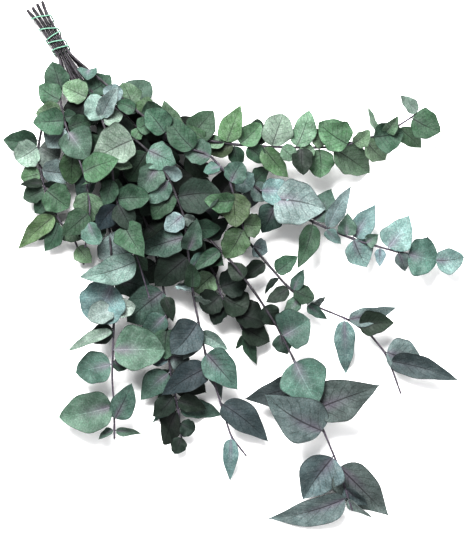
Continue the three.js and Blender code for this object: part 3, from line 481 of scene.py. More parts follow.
def leafPoint(leaf, axes, share, across):
    along, side, face = axes
    start = blade["stalkReach"] / leaf["length"]
    run = start + (1 - start) * share
    half = leaf["width"] / 2 * outlineShare(leaf, share) * across
    root = leaf["rootHigh"] * (1 - share) ** 2
    rise = root + abs(half) * leaf["fold"] - leaf["length"] * leaf["bend"] * run * run
    point = leaf["base"] + along * (leaf["length"] * run) + side * half + face * rise
    point[2] = max(point[2], blade["thick"] / 2)
    return point


netShapes = {"points": (9, 3), "rim": (8, 2, 3), "faces": (8, 3, 3), "edges": (10, 2, 3)}
wholeNet, pastRoot, pastFirstPair = 0, 1, 3  # the first point of each part of a net


# Rows repeated at the end, so that every net's lists are the same length.
def padded(kind, rows):
    return np.array(list(rows) + [rows[0]] * (netShapes[kind][0] - len(rows)))


# A blade's coarse net, and the parts of it from a given point outwards.
def planNet(stations):
    tip = 2 * len(stations) + 1
    middle = tip + 1
    rightSide = [2 * at + 2 for at in range(len(stations))]
    leftSide = [2 * at + 1 for at in range(len(stations))][::-1]
    order = [0, *rightSide, tip, *leftSide]
    rim = [(point, order[(at + 1) % len(order)]) for at, point in enumerate(order)]
    faces = [(0, 2, 1), (1, 2, middle)] + [(start, end, middle) for start, end in rim[1:-1]]
    edges = rim + [(1, 2), (middle, tip)]
    parts = {}
    for first in (wholeNet, pastRoot, pastFirstPair):
        parts[first] = {"points": padded("points", range(first, middle + 1))}
        for kind, rows in (("rim", rim), ("faces", faces), ("edges", edges)):
            parts[first][kind] = padded(kind, [row for row in rows if min(row) >= first])
    return {"stations": stations, "parts": parts}


largePlan = planNet(blade["stations"])
smallPlan = planNet(blade["smallStations"])


def netPart(points, plan, first):
    return {kind: points[part] for kind, part in plan["parts"][first].items()}


def leafNet(leaf):
    axes = leafFrame(leaf)
    plan = smallPlan if leaf["length"] < blade["smallLength"] else largePlan
    rootDepth = math.copysign(leaf["stemRadius"] * blade["rootShare"], leaf["rootHigh"])
    points = [leaf["base"] + axes[2] * rootDepth]
    for share in plan["stations"]:
        points += [leafPoint(leaf, axes, share, 1), leafPoint(leaf, axes, share, -1)]
    points += [leafPoint(leaf, axes, 1, 0), leafPoint(leaf, axes, blade["middleStation"], 0)]
    return np.array(points), plan


# A stem as short runs of straight edges.
def stemNets(path):
    nets = []
    for step in range(0, len(path) - 1, stem["spanSteps"]):
        points = path[step:step + stem["spanSteps"] + 1]
        edges = [(points[at], points[at + 1]) for at in range(len(points) - 1)]
        nets.append({
            "points": points, "rim": np.array(edges), "edges": padded("edges", edges),
            "low": points.min(0), "high": points.max(0), "fat": stemRadiusAt(path, step),
        })
    return nets


def insideFaces(points, faces, normal):
    inside = np.ones(points.shape[:2], bool)
    for at in range(3):
        corner, following = faces[:, at], faces[:, (at + 1) % 3]
        turned = crossOf((following - corner)[:, None], points - corner[:, None])
        inside &= dotOf(turned, normal[:, None]) >= 0
    return inside


# Whether points come too near some faces, or rims run through them.
def facesMeet(points, rims, faces, reach):
    corner = faces[:, 0]
    normal = crossOf(faces[:, 1] - corner, faces[:, 2] - corner)
    size = lengthOf(normal)[:, None]

    def heights(places):
        return dotOf(places[None] - corner[:, None], normal[:, None]) / size

    above = heights(points)
    foot = points[None] + normal[:, None] * (-above / size)[..., None]
    if ((np.abs(above) < reach) & insideFaces(foot, faces, normal)).any():
        return True
    start, end = heights(rims[:, 0]), heights(rims[:, 1])
    through = start * end < 0
    if not through.any():
        return False
    share = start / np.where(through, start - end, 1)
    meeting = rims[None, :, 0] + (rims[:, 1] - rims[:, 0])[None] * share[..., None]
    return bool((through & insideFaces(meeting, faces, normal)).any())


def edgesMeet(edges, others, reach):
    p, r = edges[:, None, 0], others[None, :, 0]
    u, v, w = edges[:, None, 1] - p, others[None, :, 1] - r, p - r
    uu, vv, uv, uw, vw = dotOf(u, u), dotOf(v, v), dotOf(u, v), dotOf(u, w), dotOf(v, w)
    spread = uu * vv - uv * uv
    slanted = spread > tiny
    onFirst = np.where(slanted, np.clip((uv * vw - vv * uw) / np.where(slanted, spread, 1), 0, 1), 0)
    onSecond = np.clip((uv * onFirst + vw) / vv, 0, 1)
    onFirst = np.clip((uv * onSecond - uw) / uu, 0, 1)
    gap = p + u * onFirst[..., None] - (r + v * onSecond[..., None])
    return bool((lengthOf(gap) < reach).any())


# All nets placed so far, kept as arrays so that a new leaf is set against its neighbours at once.
class Neighbours:
    def __init__(self, room, kinds=tuple(netShapes)):
        self.count = 0
        self.nets = {kind: np.zeros((room, *netShapes[kind])) for kind in kinds}
        self.low, self.high = np.zeros((room, 3)), np.zeros((room, 3))
        self.fat, self.spray = np.zeros(room), np.zeros(room, int)

    def add(self, net, low, high, fat, spray):
        for kind, nets in self.nets.items():
            nets[self.count] = net[kind]
        self.low[self.count], self.high[self.count] = low, high
        self.fat[self.count], self.spray[self.count] = fat, spray
        self.count += 1

    def near(self, low, high, fat, spray, same):
        used = slice(0, self.count)
        reach = self.fat[used] + fat + blade["gap"]
        apart = ((low - reach[:, None] > self.high[used]) | (self.low[used] - reach[:, None] > high)).any(1)
        return np.nonzero(~apart & ((self.spray[used] == spray) == same))[0]

    def meets(self, net, ids, fat):
        reach = self.fat[ids] + fat + blade["gap"]
        found = {kind: values[ids].reshape(-1, *values.shape[2:]) for kind, values in self.nets.items()}
        if "faces" in found and facesMeet(net["points"], net["rim"], found["faces"], reach[0]):
            return True
        perPoint = np.repeat(reach, self.nets["points"].shape[1])
        if facesMeet(found["points"], found["rim"], net["faces"], perPoint):
            return True
        return edgesMeet(net["edges"], found["edges"], np.repeat(reach, self.nets["edges"].shape[1]))


# Turns that a leaf may take, the smallest first.
turns = [(lift, roll) for lift in turning["liftSteps"] for roll in turning["rollSteps"]]
turns.sort(key=lambda turn: abs(turn[0]) + turning["rollCost"] * abs(turn[1]))


def sizedLeaf(wish, turn, size):
    leaf = dict(wish, lift=wish["lift"] + turn[0], roll=wish["roll"] + turn[1])
    lift = math.radians(leaf["lift"])
    shortening = math.cos(lift) + leaf["bend"] * math.sin(lift)
    leaf["length"] = wish["reach"] * size / max(shortening, turning["leastShortening"])
    leaf["width"] = wish["width"] * size
    below = -1 if wish["lift"] < blade["hangingLift"] else 1
    leaf["rootHigh"] = (leaf["stemRadius"] + blade["rootRise"]) * below
    return leaf


# The first turn of a leaf that keeps it clear of all that is placed, or nothing.
def settleLeaf(wish, whole, own, stems):
    fat = blade["thick"] / 2
    for size in turning["sizeSteps"]:
        for turn in turns:
            leaf = sizedLeaf(wish, turn, size)
            points, plan = leafNet(leaf)
            low, high = points.min(0), points.max(0)
            about = (low, high, fat, leaf["spray"])
            for store, same, first in (
                (whole, False, wholeNet), (own, True, pastRoot),
                (stems, False, wholeNet), (stems, True, pastFirstPair),
            ):
                ids = store.near(*about, same)
                if len(ids) and store.meets(netPart(points, plan, first), ids, fat):
                    break
            else:
                whole.add(netPart(points, plan, wholeNet), *about)
                own.add(netPart(points, plan, pastRoot), *about)
                return leaf
    return None


# A wish is a leaf before it is settled. This one is a given row of its spray.
def wishFromRow(number, path, row, at):
    spray = sprays[number]
    baseAcross, baseDown, tipAcross, tipDown, width, lift, roll, *tone = row
    first = stem["spanSteps"] * len(bundle["stations"])
    away = path[first:len(path) - stem["bareTipSteps"]] - place(baseAcross, baseDown, 0)
    step = first + int(np.argmin(away[:, 0] ** 2 + away[:, 1] ** 2))
    dx, dy = (place(tipAcross, tipDown, 0) - path[step])[:2]
    wish = {
        "spray": number, "base": path[step], "step": step, "heading": math.atan2(dy, dx),
        "reach": math.hypot(dx, dy), "width": width, "lift": lift, "roll": roll,
        "stemRadius": stemRadiusAt(path, step), "tone": tone[0] if tone else spray["tone"],
        **drawn(blade["temper"], blade["givenSeed"] * number + at),
    }
    wish["sharp"] += spray["sharp"]
    return wish


# Wishes in opposite pairs along the stem, each pair a quarter turn from the last.
def fillingWishes(number, path):
    spray = sprays[number]
    firstSpan, lastSpan, spacing, firstLength, lastLength = spray["filling"]
    roll = dice(filling["seed"] + number)
    wishes = []
    walked, pair = 0, 0
    first = firstSpan * stem["spanSteps"]
    last = min(lastSpan * stem["spanSteps"], len(path) - stem["bareTipSteps"])
    for step in range(first, last):
        ahead = path[step + 1] - path[step]
        walked += lengthOf(ahead)
        if walked < spacing:
            continue
        walked = 0
        pair += 1
        form = "upright" if pair % 2 == 0 else "level"
        size = between((firstLength, lastLength), (step - first) / (last - first))
        for hand in (1, -1):
            opened = math.radians(between(filling[form + "Open"], roll()))
            lift = (hand if form == "upright" else 1) * filling[form + "Lift"]
            lift += between(filling["liftSpread"], roll())
            tilt = between(filling["rollSpread"], roll())
            reach = size * between(filling["reachRange"], roll())
            width = reach * between(filling["widthRange"], roll())
            temper = drawn(blade["temper"], math.floor(filling["temperSeeds"] * roll()))
            wishes.append({
                "spray": number, "base": path[step], "step": step,
                "heading": math.atan2(ahead[1], ahead[0]) + hand * opened, "reach": reach, "width": width,
                "lift": lift, "roll": tilt, "stemRadius": stemRadiusAt(path, step),
                "tone": spray["inside"][len(wishes) % len(spray["inside"])], **temper,
            })
    return wishes


# Which of the spots a blade lies over, seen from straight above.
def spotsUnder(points, plan, spots):
    faces = points[plan["parts"][wholeNet]["faces"]][:, :, :2]
    sides = []
    for at in range(3):
        corner, following = faces[None, :, at], faces[None, :, (at + 1) % 3]
        edge, toSpot = following - corner, spots[:, None, :2] - corner
        sides.append(edge[..., 0] * toSpot[..., 1] - edge[..., 1] * toSpot[..., 0])
    sides = np.stack(sides, -1)
    within = ((sides > 0).all(-1) | (sides < 0).all(-1)).any(-1)
    return within & (spots[:, 2] <= points[-1, 2])


# The given leaves come first, then the filling where it hides none of them.
def layOut(paths):
    given = [
        wishFromRow(number, paths[number], row, at)
        for number, spray in enumerate(sprays) for at, row in enumerate(spray["leaves"])
    ]
    wishes = list(given)
    for number, path in enumerate(paths):
        wishes += fillingWishes(number, path)
    whole, own = Neighbours(len(wishes)), Neighbours(len(wishes))
    stemRuns = [(number, net) for number, path in enumerate(paths) for net in stemNets(path)]
    stems = Neighbours(len(stemRuns), ("points", "rim", "edges"))
    for number, net in stemRuns:
        stems.add(net, net["low"], net["high"], net["fat"], number)
    placed, seen = [], []
    for at, wish in enumerate(wishes):
        points, plan = leafNet(sizedLeaf(wish, turns[0], turning["sizeSteps"][0]))
        isFilling = at >= len(given)
        if isFilling and spotsUnder(points, plan, np.array(seen)).any():
            continue
        leaf = settleLeaf(wish, whole, own, stems)
        if not leaf:
            continue
        placed.append(leaf)
        if not isFilling and wish["lift"] > blade["hiddenLift"]:
            seen.append(leafNet(leaf)[0][-1])
    return placed


# The share of each leaf that others lie over, more than 1 where they lie several deep. It sets how much
# painted shade a leaf's colour gets.
def coverOf(leaves):
    nets = [leafNet(leaf) for leaf in leaves]
    spots = np.concatenate([points for points, _ in nets])
    owner = np.repeat(np.arange(len(nets)), [len(points) for points, _ in nets])
    layers = np.zeros(len(spots))
    for at, (points, plan) in enumerate(nets):
        layers += spotsUnder(points, plan, spots) & (owner != at)
    return [float(layers[owner == at].mean()) for at in range(len(nets))]


paths = [stemPath(spray, number) for number, spray in enumerate(sprays)]
leaves = layOut(paths)
covers = coverOf(leaves)
print("laid out:", len(leaves), "leaves on", len(paths), "stems")


# Materials.

def linear(red, green, blue):
    def one(value):
        value /= 255
        return value / 12.92 if value <= 0.04045 else ((value + 0.055) / 1.055) ** 2.4

    return (one(red), one(green), one(blue))


def addNode(tree, kind, inputs=None, **settings):
    node = tree.nodes.new("ShaderNode" + kind)
    for name, value in settings.items():
        setattr(node, name, value)
    for name, value in (inputs or {}).items():
        if isinstance(value, bpy.types.NodeSocket):
            tree.links.new(value, node.inputs[name])
        else:
            node.inputs[name].default_value = value
    return node


def calc(tree, operation, *values):
    return addNode(tree, "Math", dict(enumerate(values)), operation=operation).outputs[0]


# 0 where the value is at or before start, 1 at or past end.
def ramp(tree, value, start, end):
    inputs = {"Value": value, "From Min": start, "From Max": end}
    return addNode(tree, "MapRange", inputs, interpolation_type="SMOOTHSTEP").outputs["Result"]


def fromTo(tree, value, least, most):
    return addNode(tree, "MapRange", {"Value": value, "To Min": least, "To Max": most}).outputs["Result"]


def mixColour(tree, share, first, second):
    node = addNode(tree, "Mix", data_type="RGBA")
    for at, value in ((0, share), (6, first), (7, second)):
        if isinstance(value, bpy.types.NodeSocket):
            tree.links.new(value, node.inputs[at])
        else:
            node.inputs[at].default_value = (*value, 1)
    return node.outputs[2]


def grey(tree, value):
    return addNode(tree, "CombineXYZ", {"X": value, "Y": value, "Z": value}).outputs[0]


def timesFactor(tree, colour, *factors):
    total = factors[0]
    for factor in factors[1:]:
        total = calc(tree, "MULTIPLY", total, factor)
    return addNode(tree, "VectorMath", {0: colour, 1: grey(tree, total)}, operation="MULTIPLY").outputs[0]


mottleForm = {"rough": 0.6, "from": 0.3, "to": 0.7}  # most of the noise lies from 0.3 to 0.7


# Cloudy patches of light and dark, as a factor for a colour.
def makeMottle():
    group = bpy.data.node_groups.new("mottle", "ShaderNodeTree")
    for label, kind in (("Vector", "Vector"), ("Scale", "Float"), ("Detail", "Float"),
                        ("Darkest", "Float"), ("Lightest", "Float")):
        group.interface.new_socket(label, in_out="INPUT", socket_type="NodeSocket" + kind)
    for label in ("Factor", "Patches"):
        group.interface.new_socket(label, in_out="OUTPUT", socket_type="NodeSocketFloat")
    given = group.nodes.new("NodeGroupInput").outputs
    out = group.nodes.new("NodeGroupOutput").inputs
    noise = addNode(group, "TexNoise", {
        "Vector": given["Vector"], "Scale": given["Scale"], "Detail": given["Detail"],
        "Roughness": mottleForm["rough"],
    })
    spread = ramp(group, noise.outputs["Fac"], mottleForm["from"], mottleForm["to"])
    group.links.new(fromTo(group, spread, given["Darkest"], given["Lightest"]), out["Factor"])
    group.links.new(spread, out["Patches"])
    return group


mottle = makeMottle()


# A mottle's size is its scale, its detail, and its darkest and lightest factor.
def addMottle(tree, vector, size):
    node = tree.nodes.new("ShaderNodeGroup")
    node.node_tree = mottle
    tree.links.new(vector, node.inputs["Vector"])
    for name, value in zip(("Scale", "Detail", "Darkest", "Lightest"), size):
        node.inputs[name].default_value = value
    return node.outputs["Factor"], node.outputs["Patches"]


def newMaterial(name):
    material = bpy.data.materials.new(name)
    material.use_nodes = True
    tree = material.node_tree
    coordinates = addNode(tree, "TexCoord").outputs["Object"]
    return material, tree, tree.nodes["Principled BSDF"], coordinates


def setRelief(tree, shader, height, look):
    bump = addNode(tree, "Bump", {
        "Height": height, "Strength": look["bumpStrength"], "Distance": look["bumpDistance"],
    })
    tree.links.new(bump.outputs["Normal"], shader.inputs["Normal"])


leafLook = {
    "cloud": (75, 3, 0.8, 1.18), "speckle": (620, 3, 0.8, 1.2),
    "bloom": (150, 4, 0, 0.2), "bloomGain": 1.35,
    "netScale": 420, "netWidth": 0.1, "netStrength": 0.25, "netGain": 1.5,
    "veinPairs": 7, "veinSlope": 0.3, "veinWander": 0.05, "wanderScale": 220,
    "veinWidth": 0.12, "veinCore": 0.02, "veinFrom": 0.97, "veinTo": 0.6, "veinStrength": 0.4,
    "midribWidth": 0.045, "midribThins": 0.6, "midribSoft": (1.3, 0.5), "midribStrength": 0.85,
    "darkVein": 0.36, "paleVein": 1.4,
    "blushColour": linear(96, 84, 98), "blushWide": 0.5, "blushLong": (0.75, 0.1), "blushMost": 0.6,
    "rimFrom": 0.92, "rimDark": 0.55, "underGain": 1.3, "underShare": 0.4,
    "rough": (300, 2, 0.5, 0.72), "gloss": 0.22,
    "grainHigh": 0.35, "veinDeep": 0.6, "bumpStrength": 0.6, "bumpDistance": 0.0006,
}


# The colour mixed by share with its own grey, which gain makes lighter or darker.
def towardsGrey(tree, colour, gain, share):
    shade = calc(tree, "MULTIPLY", addNode(tree, "RGBToBW", {"Color": colour}).outputs[0], gain)
    return mixColour(tree, share, colour, grey(tree, shade))


# Side veins slope from the midrib towards the tip, and wander a little.
def addVeins(tree, coordinates, along, across):
    look = leafLook
    wander = addNode(tree, "TexNoise", {
        "Vector": coordinates, "Scale": look["wanderScale"], "Detail": 1,
    }).outputs["Fac"]
    slope = calc(tree, "MULTIPLY", across, -look["veinSlope"])
    course = calc(tree, "MULTIPLY_ADD", wander, look["veinWander"], calc(tree, "ADD", along, slope))
    saw = calc(tree, "FRACT", calc(tree, "MULTIPLY", course, look["veinPairs"]))
    fromLine = calc(tree, "ABSOLUTE", calc(tree, "SUBTRACT", saw, 0.5))
    sideVein = ramp(tree, fromLine, look["veinWidth"], look["veinCore"])
    sideVein = calc(tree, "MULTIPLY", sideVein, ramp(tree, across, look["veinFrom"], look["veinTo"]))
    width = look["midribWidth"]
    ribWidth = calc(tree, "MULTIPLY_ADD", along, -width * look["midribThins"], width)
    midrib = ramp(tree, calc(tree, "DIVIDE", across, ribWidth), *look["midribSoft"])
    return calc(tree, "MAXIMUM", calc(tree, "MULTIPLY", midrib, look["midribStrength"]),
                calc(tree, "MULTIPLY", sideVein, look["veinStrength"]))


# The blade map runs across (0 to 1) and along (0 at the stalk, 1 at the tip).
def makeLeafMaterial():
    look = leafLook
    material, tree, shader, coordinates = newMaterial("dried leaf")
    tint = addNode(tree, "Attribute", attribute_name="leafTint").outputs["Color"]
    form = addNode(tree, "Attribute", attribute_name="leafForm").outputs["Color"]
    under, blushing, pale = addNode(tree, "SeparateColor", {"Color": form}).outputs
    bladeMap = addNode(tree, "UVMap", uv_map="blade").outputs["UV"]
    mapAcross, along, _ = addNode(tree, "SeparateXYZ", {"Vector": bladeMap}).outputs
    across = calc(tree, "ABSOLUTE", calc(tree, "MULTIPLY_ADD", mapAcross, 2, -1))

    speckle, grain = addMottle(tree, coordinates, look["speckle"])
    colour = timesFactor(tree, tint, addMottle(tree, coordinates, look["cloud"])[0], speckle)

    blush = calc(tree, "MULTIPLY", ramp(tree, across, look["blushWide"], 0),
                 ramp(tree, along, *look["blushLong"]))
    blush = calc(tree, "MULTIPLY", blush, calc(tree, "MULTIPLY", blushing, look["blushMost"]))
    colour = mixColour(tree, blush, colour, look["blushColour"])
    bloom, _ = addMottle(tree, coordinates, look["bloom"])
    colour = towardsGrey(tree, colour, look["bloomGain"], bloom)

    net = addNode(tree, "TexVoronoi", {"Vector": coordinates, "Scale": look["netScale"]},
                  feature="DISTANCE_TO_EDGE")
    netLine = ramp(tree, net.outputs["Distance"], look["netWidth"], 0)
    netShare = calc(tree, "MULTIPLY", netLine, look["netStrength"])
    colour = towardsGrey(tree, colour, look["netGain"], netShare)

    vein = addVeins(tree, coordinates, along, across)
    veinShade = fromTo(tree, pale, look["darkVein"], look["paleVein"])
    colour = mixColour(tree, vein, colour, timesFactor(tree, colour, veinShade))
    rim = ramp(tree, across, look["rimFrom"], 1)
    colour = timesFactor(tree, colour, fromTo(tree, rim, 1, look["rimDark"]))
    colour = towardsGrey(tree, colour, look["underGain"], calc(tree, "MULTIPLY", under, look["underShare"]))
    tree.links.new(colour, shader.inputs["Base Color"])

    tree.links.new(addMottle(tree, coordinates, look["rough"])[0], shader.inputs["Roughness"])
    shader.inputs["Specular IOR Level"].default_value = look["gloss"]
    height = calc(tree, "SUBTRACT", calc(tree, "MULTIPLY", grain, look["grainHigh"]),
                  calc(tree, "MULTIPLY", vein, look["veinDeep"]))
    setRelief(tree, shader, height, look)
    return material


barkLook = {
    "oldColour": linear(25, 23, 26), "youngColour": linear(70, 64, 74), "youngFrom": 0.45, "youngTo": 1,
    "cloud": (260, 3, 0.7, 1.25), "fine": (1300, 2, 0.82, 1.16),
    "bloomColour": linear(150, 142, 152), "bloom": (130, 2, 0, 0.12),
    "rough": (260, 2, 0.5, 0.75), "bumpStrength": 0.6, "bumpDistance": 0.0003,
}


# The bark's map runs round the stem and along it from its cut end.
def makeBarkMaterial():
    look = barkLook
    material, tree, shader, coordinates = newMaterial("stem bark")
    barkMap = addNode(tree, "UVMap", uv_map="bark").outputs["UV"]
    along = addNode(tree, "SeparateXYZ", {"Vector": barkMap}).outputs["Y"]
    colour = mixColour(tree, ramp(tree, along, look["youngFrom"], look["youngTo"]),
                       look["oldColour"], look["youngColour"])
    fine, grain = addMottle(tree, coordinates, look["fine"])
    colour = timesFactor(tree, colour, addMottle(tree, coordinates, look["cloud"])[0], fine)
    colour = mixColour(tree, addMottle(tree, coordinates, look["bloom"])[0], colour, look["bloomColour"])
    tree.links.new(colour, shader.inputs["Base Color"])
    tree.links.new(addMottle(tree, coordinates, look["rough"])[0], shader.inputs["Roughness"])
    setRelief(tree, shader, grain, look)
    return material


cutWoodLook = {"colour": linear(92, 78, 66), "mottles": [(1600, 3, 0.6, 1.3)], "rough": 0.85}
tieLook = {
    "colour": linear(94, 127, 112), "mottles": [(420, 2, 0.85, 1.1), (2100, 2, 0.94, 1.05)],
    "rough": 0.42, "bumpStrength": 0.4, "bumpDistance": 0.00012,
}


# One mottled colour, with the last mottle as relief where the look has a bump.
def makePlainMaterial(name, look):
    material, tree, shader, coordinates = newMaterial(name)
    colour = addNode(tree, "RGB").outputs[0]
    colour.default_value = (*look["colour"], 1)
    factors, patches = zip(*(addMottle(tree, coordinates, size) for size in look["mottles"]))
    tree.links.new(timesFactor(tree, colour, *factors), shader.inputs["Base Color"])
    shader.inputs["Roughness"].default_value = look["rough"]
    if "bumpStrength" in look:
        setRelief(tree, shader, patches[-1], look)
    return material


leafMaterial = makeLeafMaterial()
barkMaterial = makeBarkMaterial()
cutWoodMaterial = makePlainMaterial("cut wood", cutWoodLook)
tieMaterial = makePlainMaterial("pale elastic", tieLook)
print("materials made")


# Shared mesh work.

smoothAngle = math.radians(60)
firstSideways = np.array([0.31, 0.17, 0.93])  # no path starts off along this


# A round tube through the points. Returns its corners, its faces, its ends, and each corner's ring.
def tube(points, radii, sides):
    points = np.asarray(points)
    ahead = np.gradient(points, axis=0)
    ahead /= lengthOf(ahead)[:, None]
    across = crossOf(ahead[0], firstSideways)
    angles = np.arange(sides) / sides * 2 * math.pi
    corners = []
    for at, point in enumerate(points):
        across = across - ahead[at] * dotOf(across, ahead[at])
        across /= lengthOf(across)
        upward = crossOf(ahead[at], across)
        ring = np.cos(angles)[:, None] * across + np.sin(angles)[:, None] * upward
        corners.append(point + ring * radii[at])
    faces = []
    for here in range(0, (len(points) - 1) * sides, sides):
        for side in range(sides):
            following = (side + 1) % sides
            faces.append((here + side, here + following, here + sides + following, here + sides + side))
    ends = [tuple(range(sides))[::-1], tuple(range((len(points) - 1) * sides, len(points) * sides))]
    return np.concatenate(corners), faces, ends, np.repeat(np.arange(len(points)), sides)


# One mesh of several parts, each with corners and faces of its own.
def addPiece(name, parts, materials):
    corners, faces = [], []
    for points, shapes in parts:
        first = len(corners)
        faces += [tuple(first + corner for corner in shape) for shape in shapes]
        corners += (points * metre).tolist()
    mesh = bpy.data.meshes.new(name)
    mesh.from_pydata(corners, [], faces)
    for material in materials:
        mesh.materials.append(material)
    mesh.shade_smooth()
    mesh.set_sharp_from_angle(angle=smoothAngle)
    piece = addObject(name, mesh)
    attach(piece, "root")
    return piece


def addMap(mesh, name, places):
    uv = mesh.uv_layers.new(name=name)
    corners = np.empty(len(mesh.loops), int)
    mesh.loops.foreach_get("vertex_index", corners)
    uv.data.foreach_set("uv", np.asarray(places, np.float32)[corners].ravel())


def addColours(mesh, name, colours):
    layer = mesh.color_attributes.new(name=name, type="FLOAT_COLOR", domain="POINT")
    rgba = np.concatenate([colours, np.ones((len(colours), 1))], 1)
    layer.data.foreach_set("color", rgba.astype(np.float32).ravel())


# Leaves.

leafForm = {
    "rows": 22, "cells": 10, "thick": 0.5, "rimThin": 0.45, "rimPower": 4, "bladeFrom": 0.03,
    "bladeTo": 0.975, "pointFrom": 0.82, "pointStart": 0.5, "pointRise": 4, "crease": 1.2,
    "waveHeight": 0.05, "edgeWave": 0.05, "curlFrom": 0.6, "tableGap": 0.3, "tableSoft": 0.7,
    "ribRings": 12, "ribSides": 6, "ribTo": 0.9, "ribRadius": 0.5, "ribTip": 0.12, "ribSink": 0.18,
    "stalkRadii": (0.92, 0.68), "stalkMiddle": 0.55, "leastRib": 0.55, "fullRibLength": 90,
    # The last value below makes a leaf's colour darker where other leaves cover it: painted shade.
    "depth": 0.56, "lightSpread": 0.22, "warmSpread": 0.06, "paintedShadeUnderCover": 0.6,
    "darkVeinShare": 0.35, "faintBlush": 0.25, "seed": 4000, "seedStep": 17,
    "traits": {
        "phase": (0, 1), "shift": (0, 2 * math.pi), "light": (-1, 1), "warm": (-1, 1),
        "waves": (1.2, 2.6), "twist": (-0.64, 0.64), "lopsided": (-0.13, 0.13),
        "sickle": (-0.05, 0.05), "edgeWaves": (1.7, 3.4), "curl": (-0.5, 0.7),
        "pointWide": (0.06, 0.22),
    },
}

leafTones = {
    "pale": linear(147, 165, 161), "sage": linear(131, 152, 140), "leafy": linear(128, 159, 131),
    "green": linear(102, 137, 103), "deep": linear(73, 103, 83), "shade": linear(50, 66, 56),
    "teal": linear(91, 119, 107), "blue": linear(127, 154, 149), "slate": linear(130, 149, 149),
    "dusk": linear(74, 89, 93), "olive": linear(84, 103, 76), "lime": linear(96, 122, 90),
    "ash": linear(112, 128, 128),
}
paleVeinTones = ("pale", "sage", "blue", "teal")
blushingTones = ("slate", "ash", "teal", "blue")


# Points of a blade at shares of its length and places across it, from -1 to 1.
def bladeSurface(leaf, nature, share, across):
    form = leafForm
    along, side, face = leafFrame(leaf)
    start = blade["stalkReach"] / leaf["length"]
    run = start + (1 - start) * share
    inner = np.clip((share - form["bladeFrom"]) / (form["bladeTo"] - form["bladeFrom"]), 0, 1)
    body = outlineShare(leaf, inner)
    point = nature["pointWide"] * np.clip((1 - share) / (1 - form["pointFrom"]), 0, 1)
    point = point * np.clip((share - form["pointStart"]) * form["pointRise"], 0, 1)

    def waveOf(waves):
        return np.sin(2 * math.pi * (waves * share + nature["phase"]) + np.sign(across) * nature["shift"])

    ripple = waveOf(nature["edgeWaves"])
    uneven = 1 + nature["lopsided"] * across + form["edgeWave"] * ripple * np.abs(across)
    half = leaf["width"] / 2 * np.maximum(body, point) * across * uneven
    fold = (np.sqrt(half ** 2 + form["crease"] ** 2) - form["crease"]) * leaf["fold"]
    rise = fold - leaf["length"] * leaf["bend"] * run ** 2 + half * nature["twist"] * (share - 0.5)
    rise = rise + leaf["rootHigh"] * (1 - share) ** 2
    rise = rise + leaf["width"] * form["waveHeight"] * across ** 2 * waveOf(nature["waves"]) * body
    rise = rise + leaf["length"] * nature["curl"] * np.maximum(0, share - form["curlFrom"]) ** 2
    sideways = half + leaf["length"] * nature["sickle"] * np.sin(math.pi * share)
    places = leaf["base"] + along * (leaf["length"] * run)[..., None]
    places = places + side * sideways[..., None] + face * rise[..., None]
    above = places[..., 2] - form["tableGap"]
    places[..., 2] = form["tableGap"] + (above + np.sqrt(above ** 2 + form["tableSoft"] ** 2)) / 2
    return places


# The faces of one blade: upper side, lower side, and the narrow wall between them.
def bladeFaces(rows, cells):
    across = cells + 1
    inner = rows - 1
    base, tip, count = inner * across, inner * across + 1, inner * across + 2

    def corner(row, cell):
        return row * across + cell

    upper = []
    for cell in range(cells):
        upper.append((base, corner(0, cell), corner(0, cell + 1)))
        upper.append((corner(inner - 1, cell), tip, corner(inner - 1, cell + 1)))
        for row in range(inner - 1):
            upper.append((
                corner(row, cell), corner(row + 1, cell), corner(row + 1, cell + 1), corner(row, cell + 1),
            ))
    lower = [tuple(at + count for at in face[::-1]) for face in upper]
    right = [corner(row, 0) for row in range(inner)]
    left = [corner(row, cells) for row in range(inner)][::-1]
    loop = [base, *right, tip, *left]
    wall = []
    for at, here in enumerate(loop):
        following = loop[(at + 1) % len(loop)]
        wall.append((following, here, here + count, following + count))
    return upper + lower + wall


oneBlade = bladeFaces(leafForm["rows"], leafForm["cells"])


def bladeMesh(leaf, nature):
    rows, cells = leafForm["rows"], leafForm["cells"]
    shares = (1 - np.cos(np.arange(rows + 1) / rows * math.pi)) / 2
    shares = leafForm["bladeFrom"] + (1 - leafForm["bladeFrom"]) * shares
    share, across = np.meshgrid(shares, np.linspace(-1, 1, cells + 1), indexing="ij")
    middle = bladeSurface(leaf, nature, share, across)
    normal = crossOf(np.gradient(middle, axis=0), np.gradient(middle, axis=1))
    normal[0], normal[-1] = normal[1], normal[-2]
    normal /= np.maximum(lengthOf(normal), tiny)[..., None]
    thick = leafForm["thick"] / 2 * (1 - leafForm["rimThin"] * np.abs(across) ** leafForm["rimPower"])

    def inOrder(grid):
        inner = grid[1:-1].reshape(-1, *grid.shape[2:])
        return np.concatenate([inner, grid[:1, cells // 2], grid[-1:, cells // 2]])

    offset = normal * thick[..., None]
    corners = np.concatenate([inOrder(middle + offset), inOrder(middle - offset)])
    chart = inOrder(np.stack([across / 2 + 0.5, share], -1))
    under = np.repeat([0.0, 1.0], len(chart))
    return corners, oneBlade, np.concatenate([chart, chart]), under


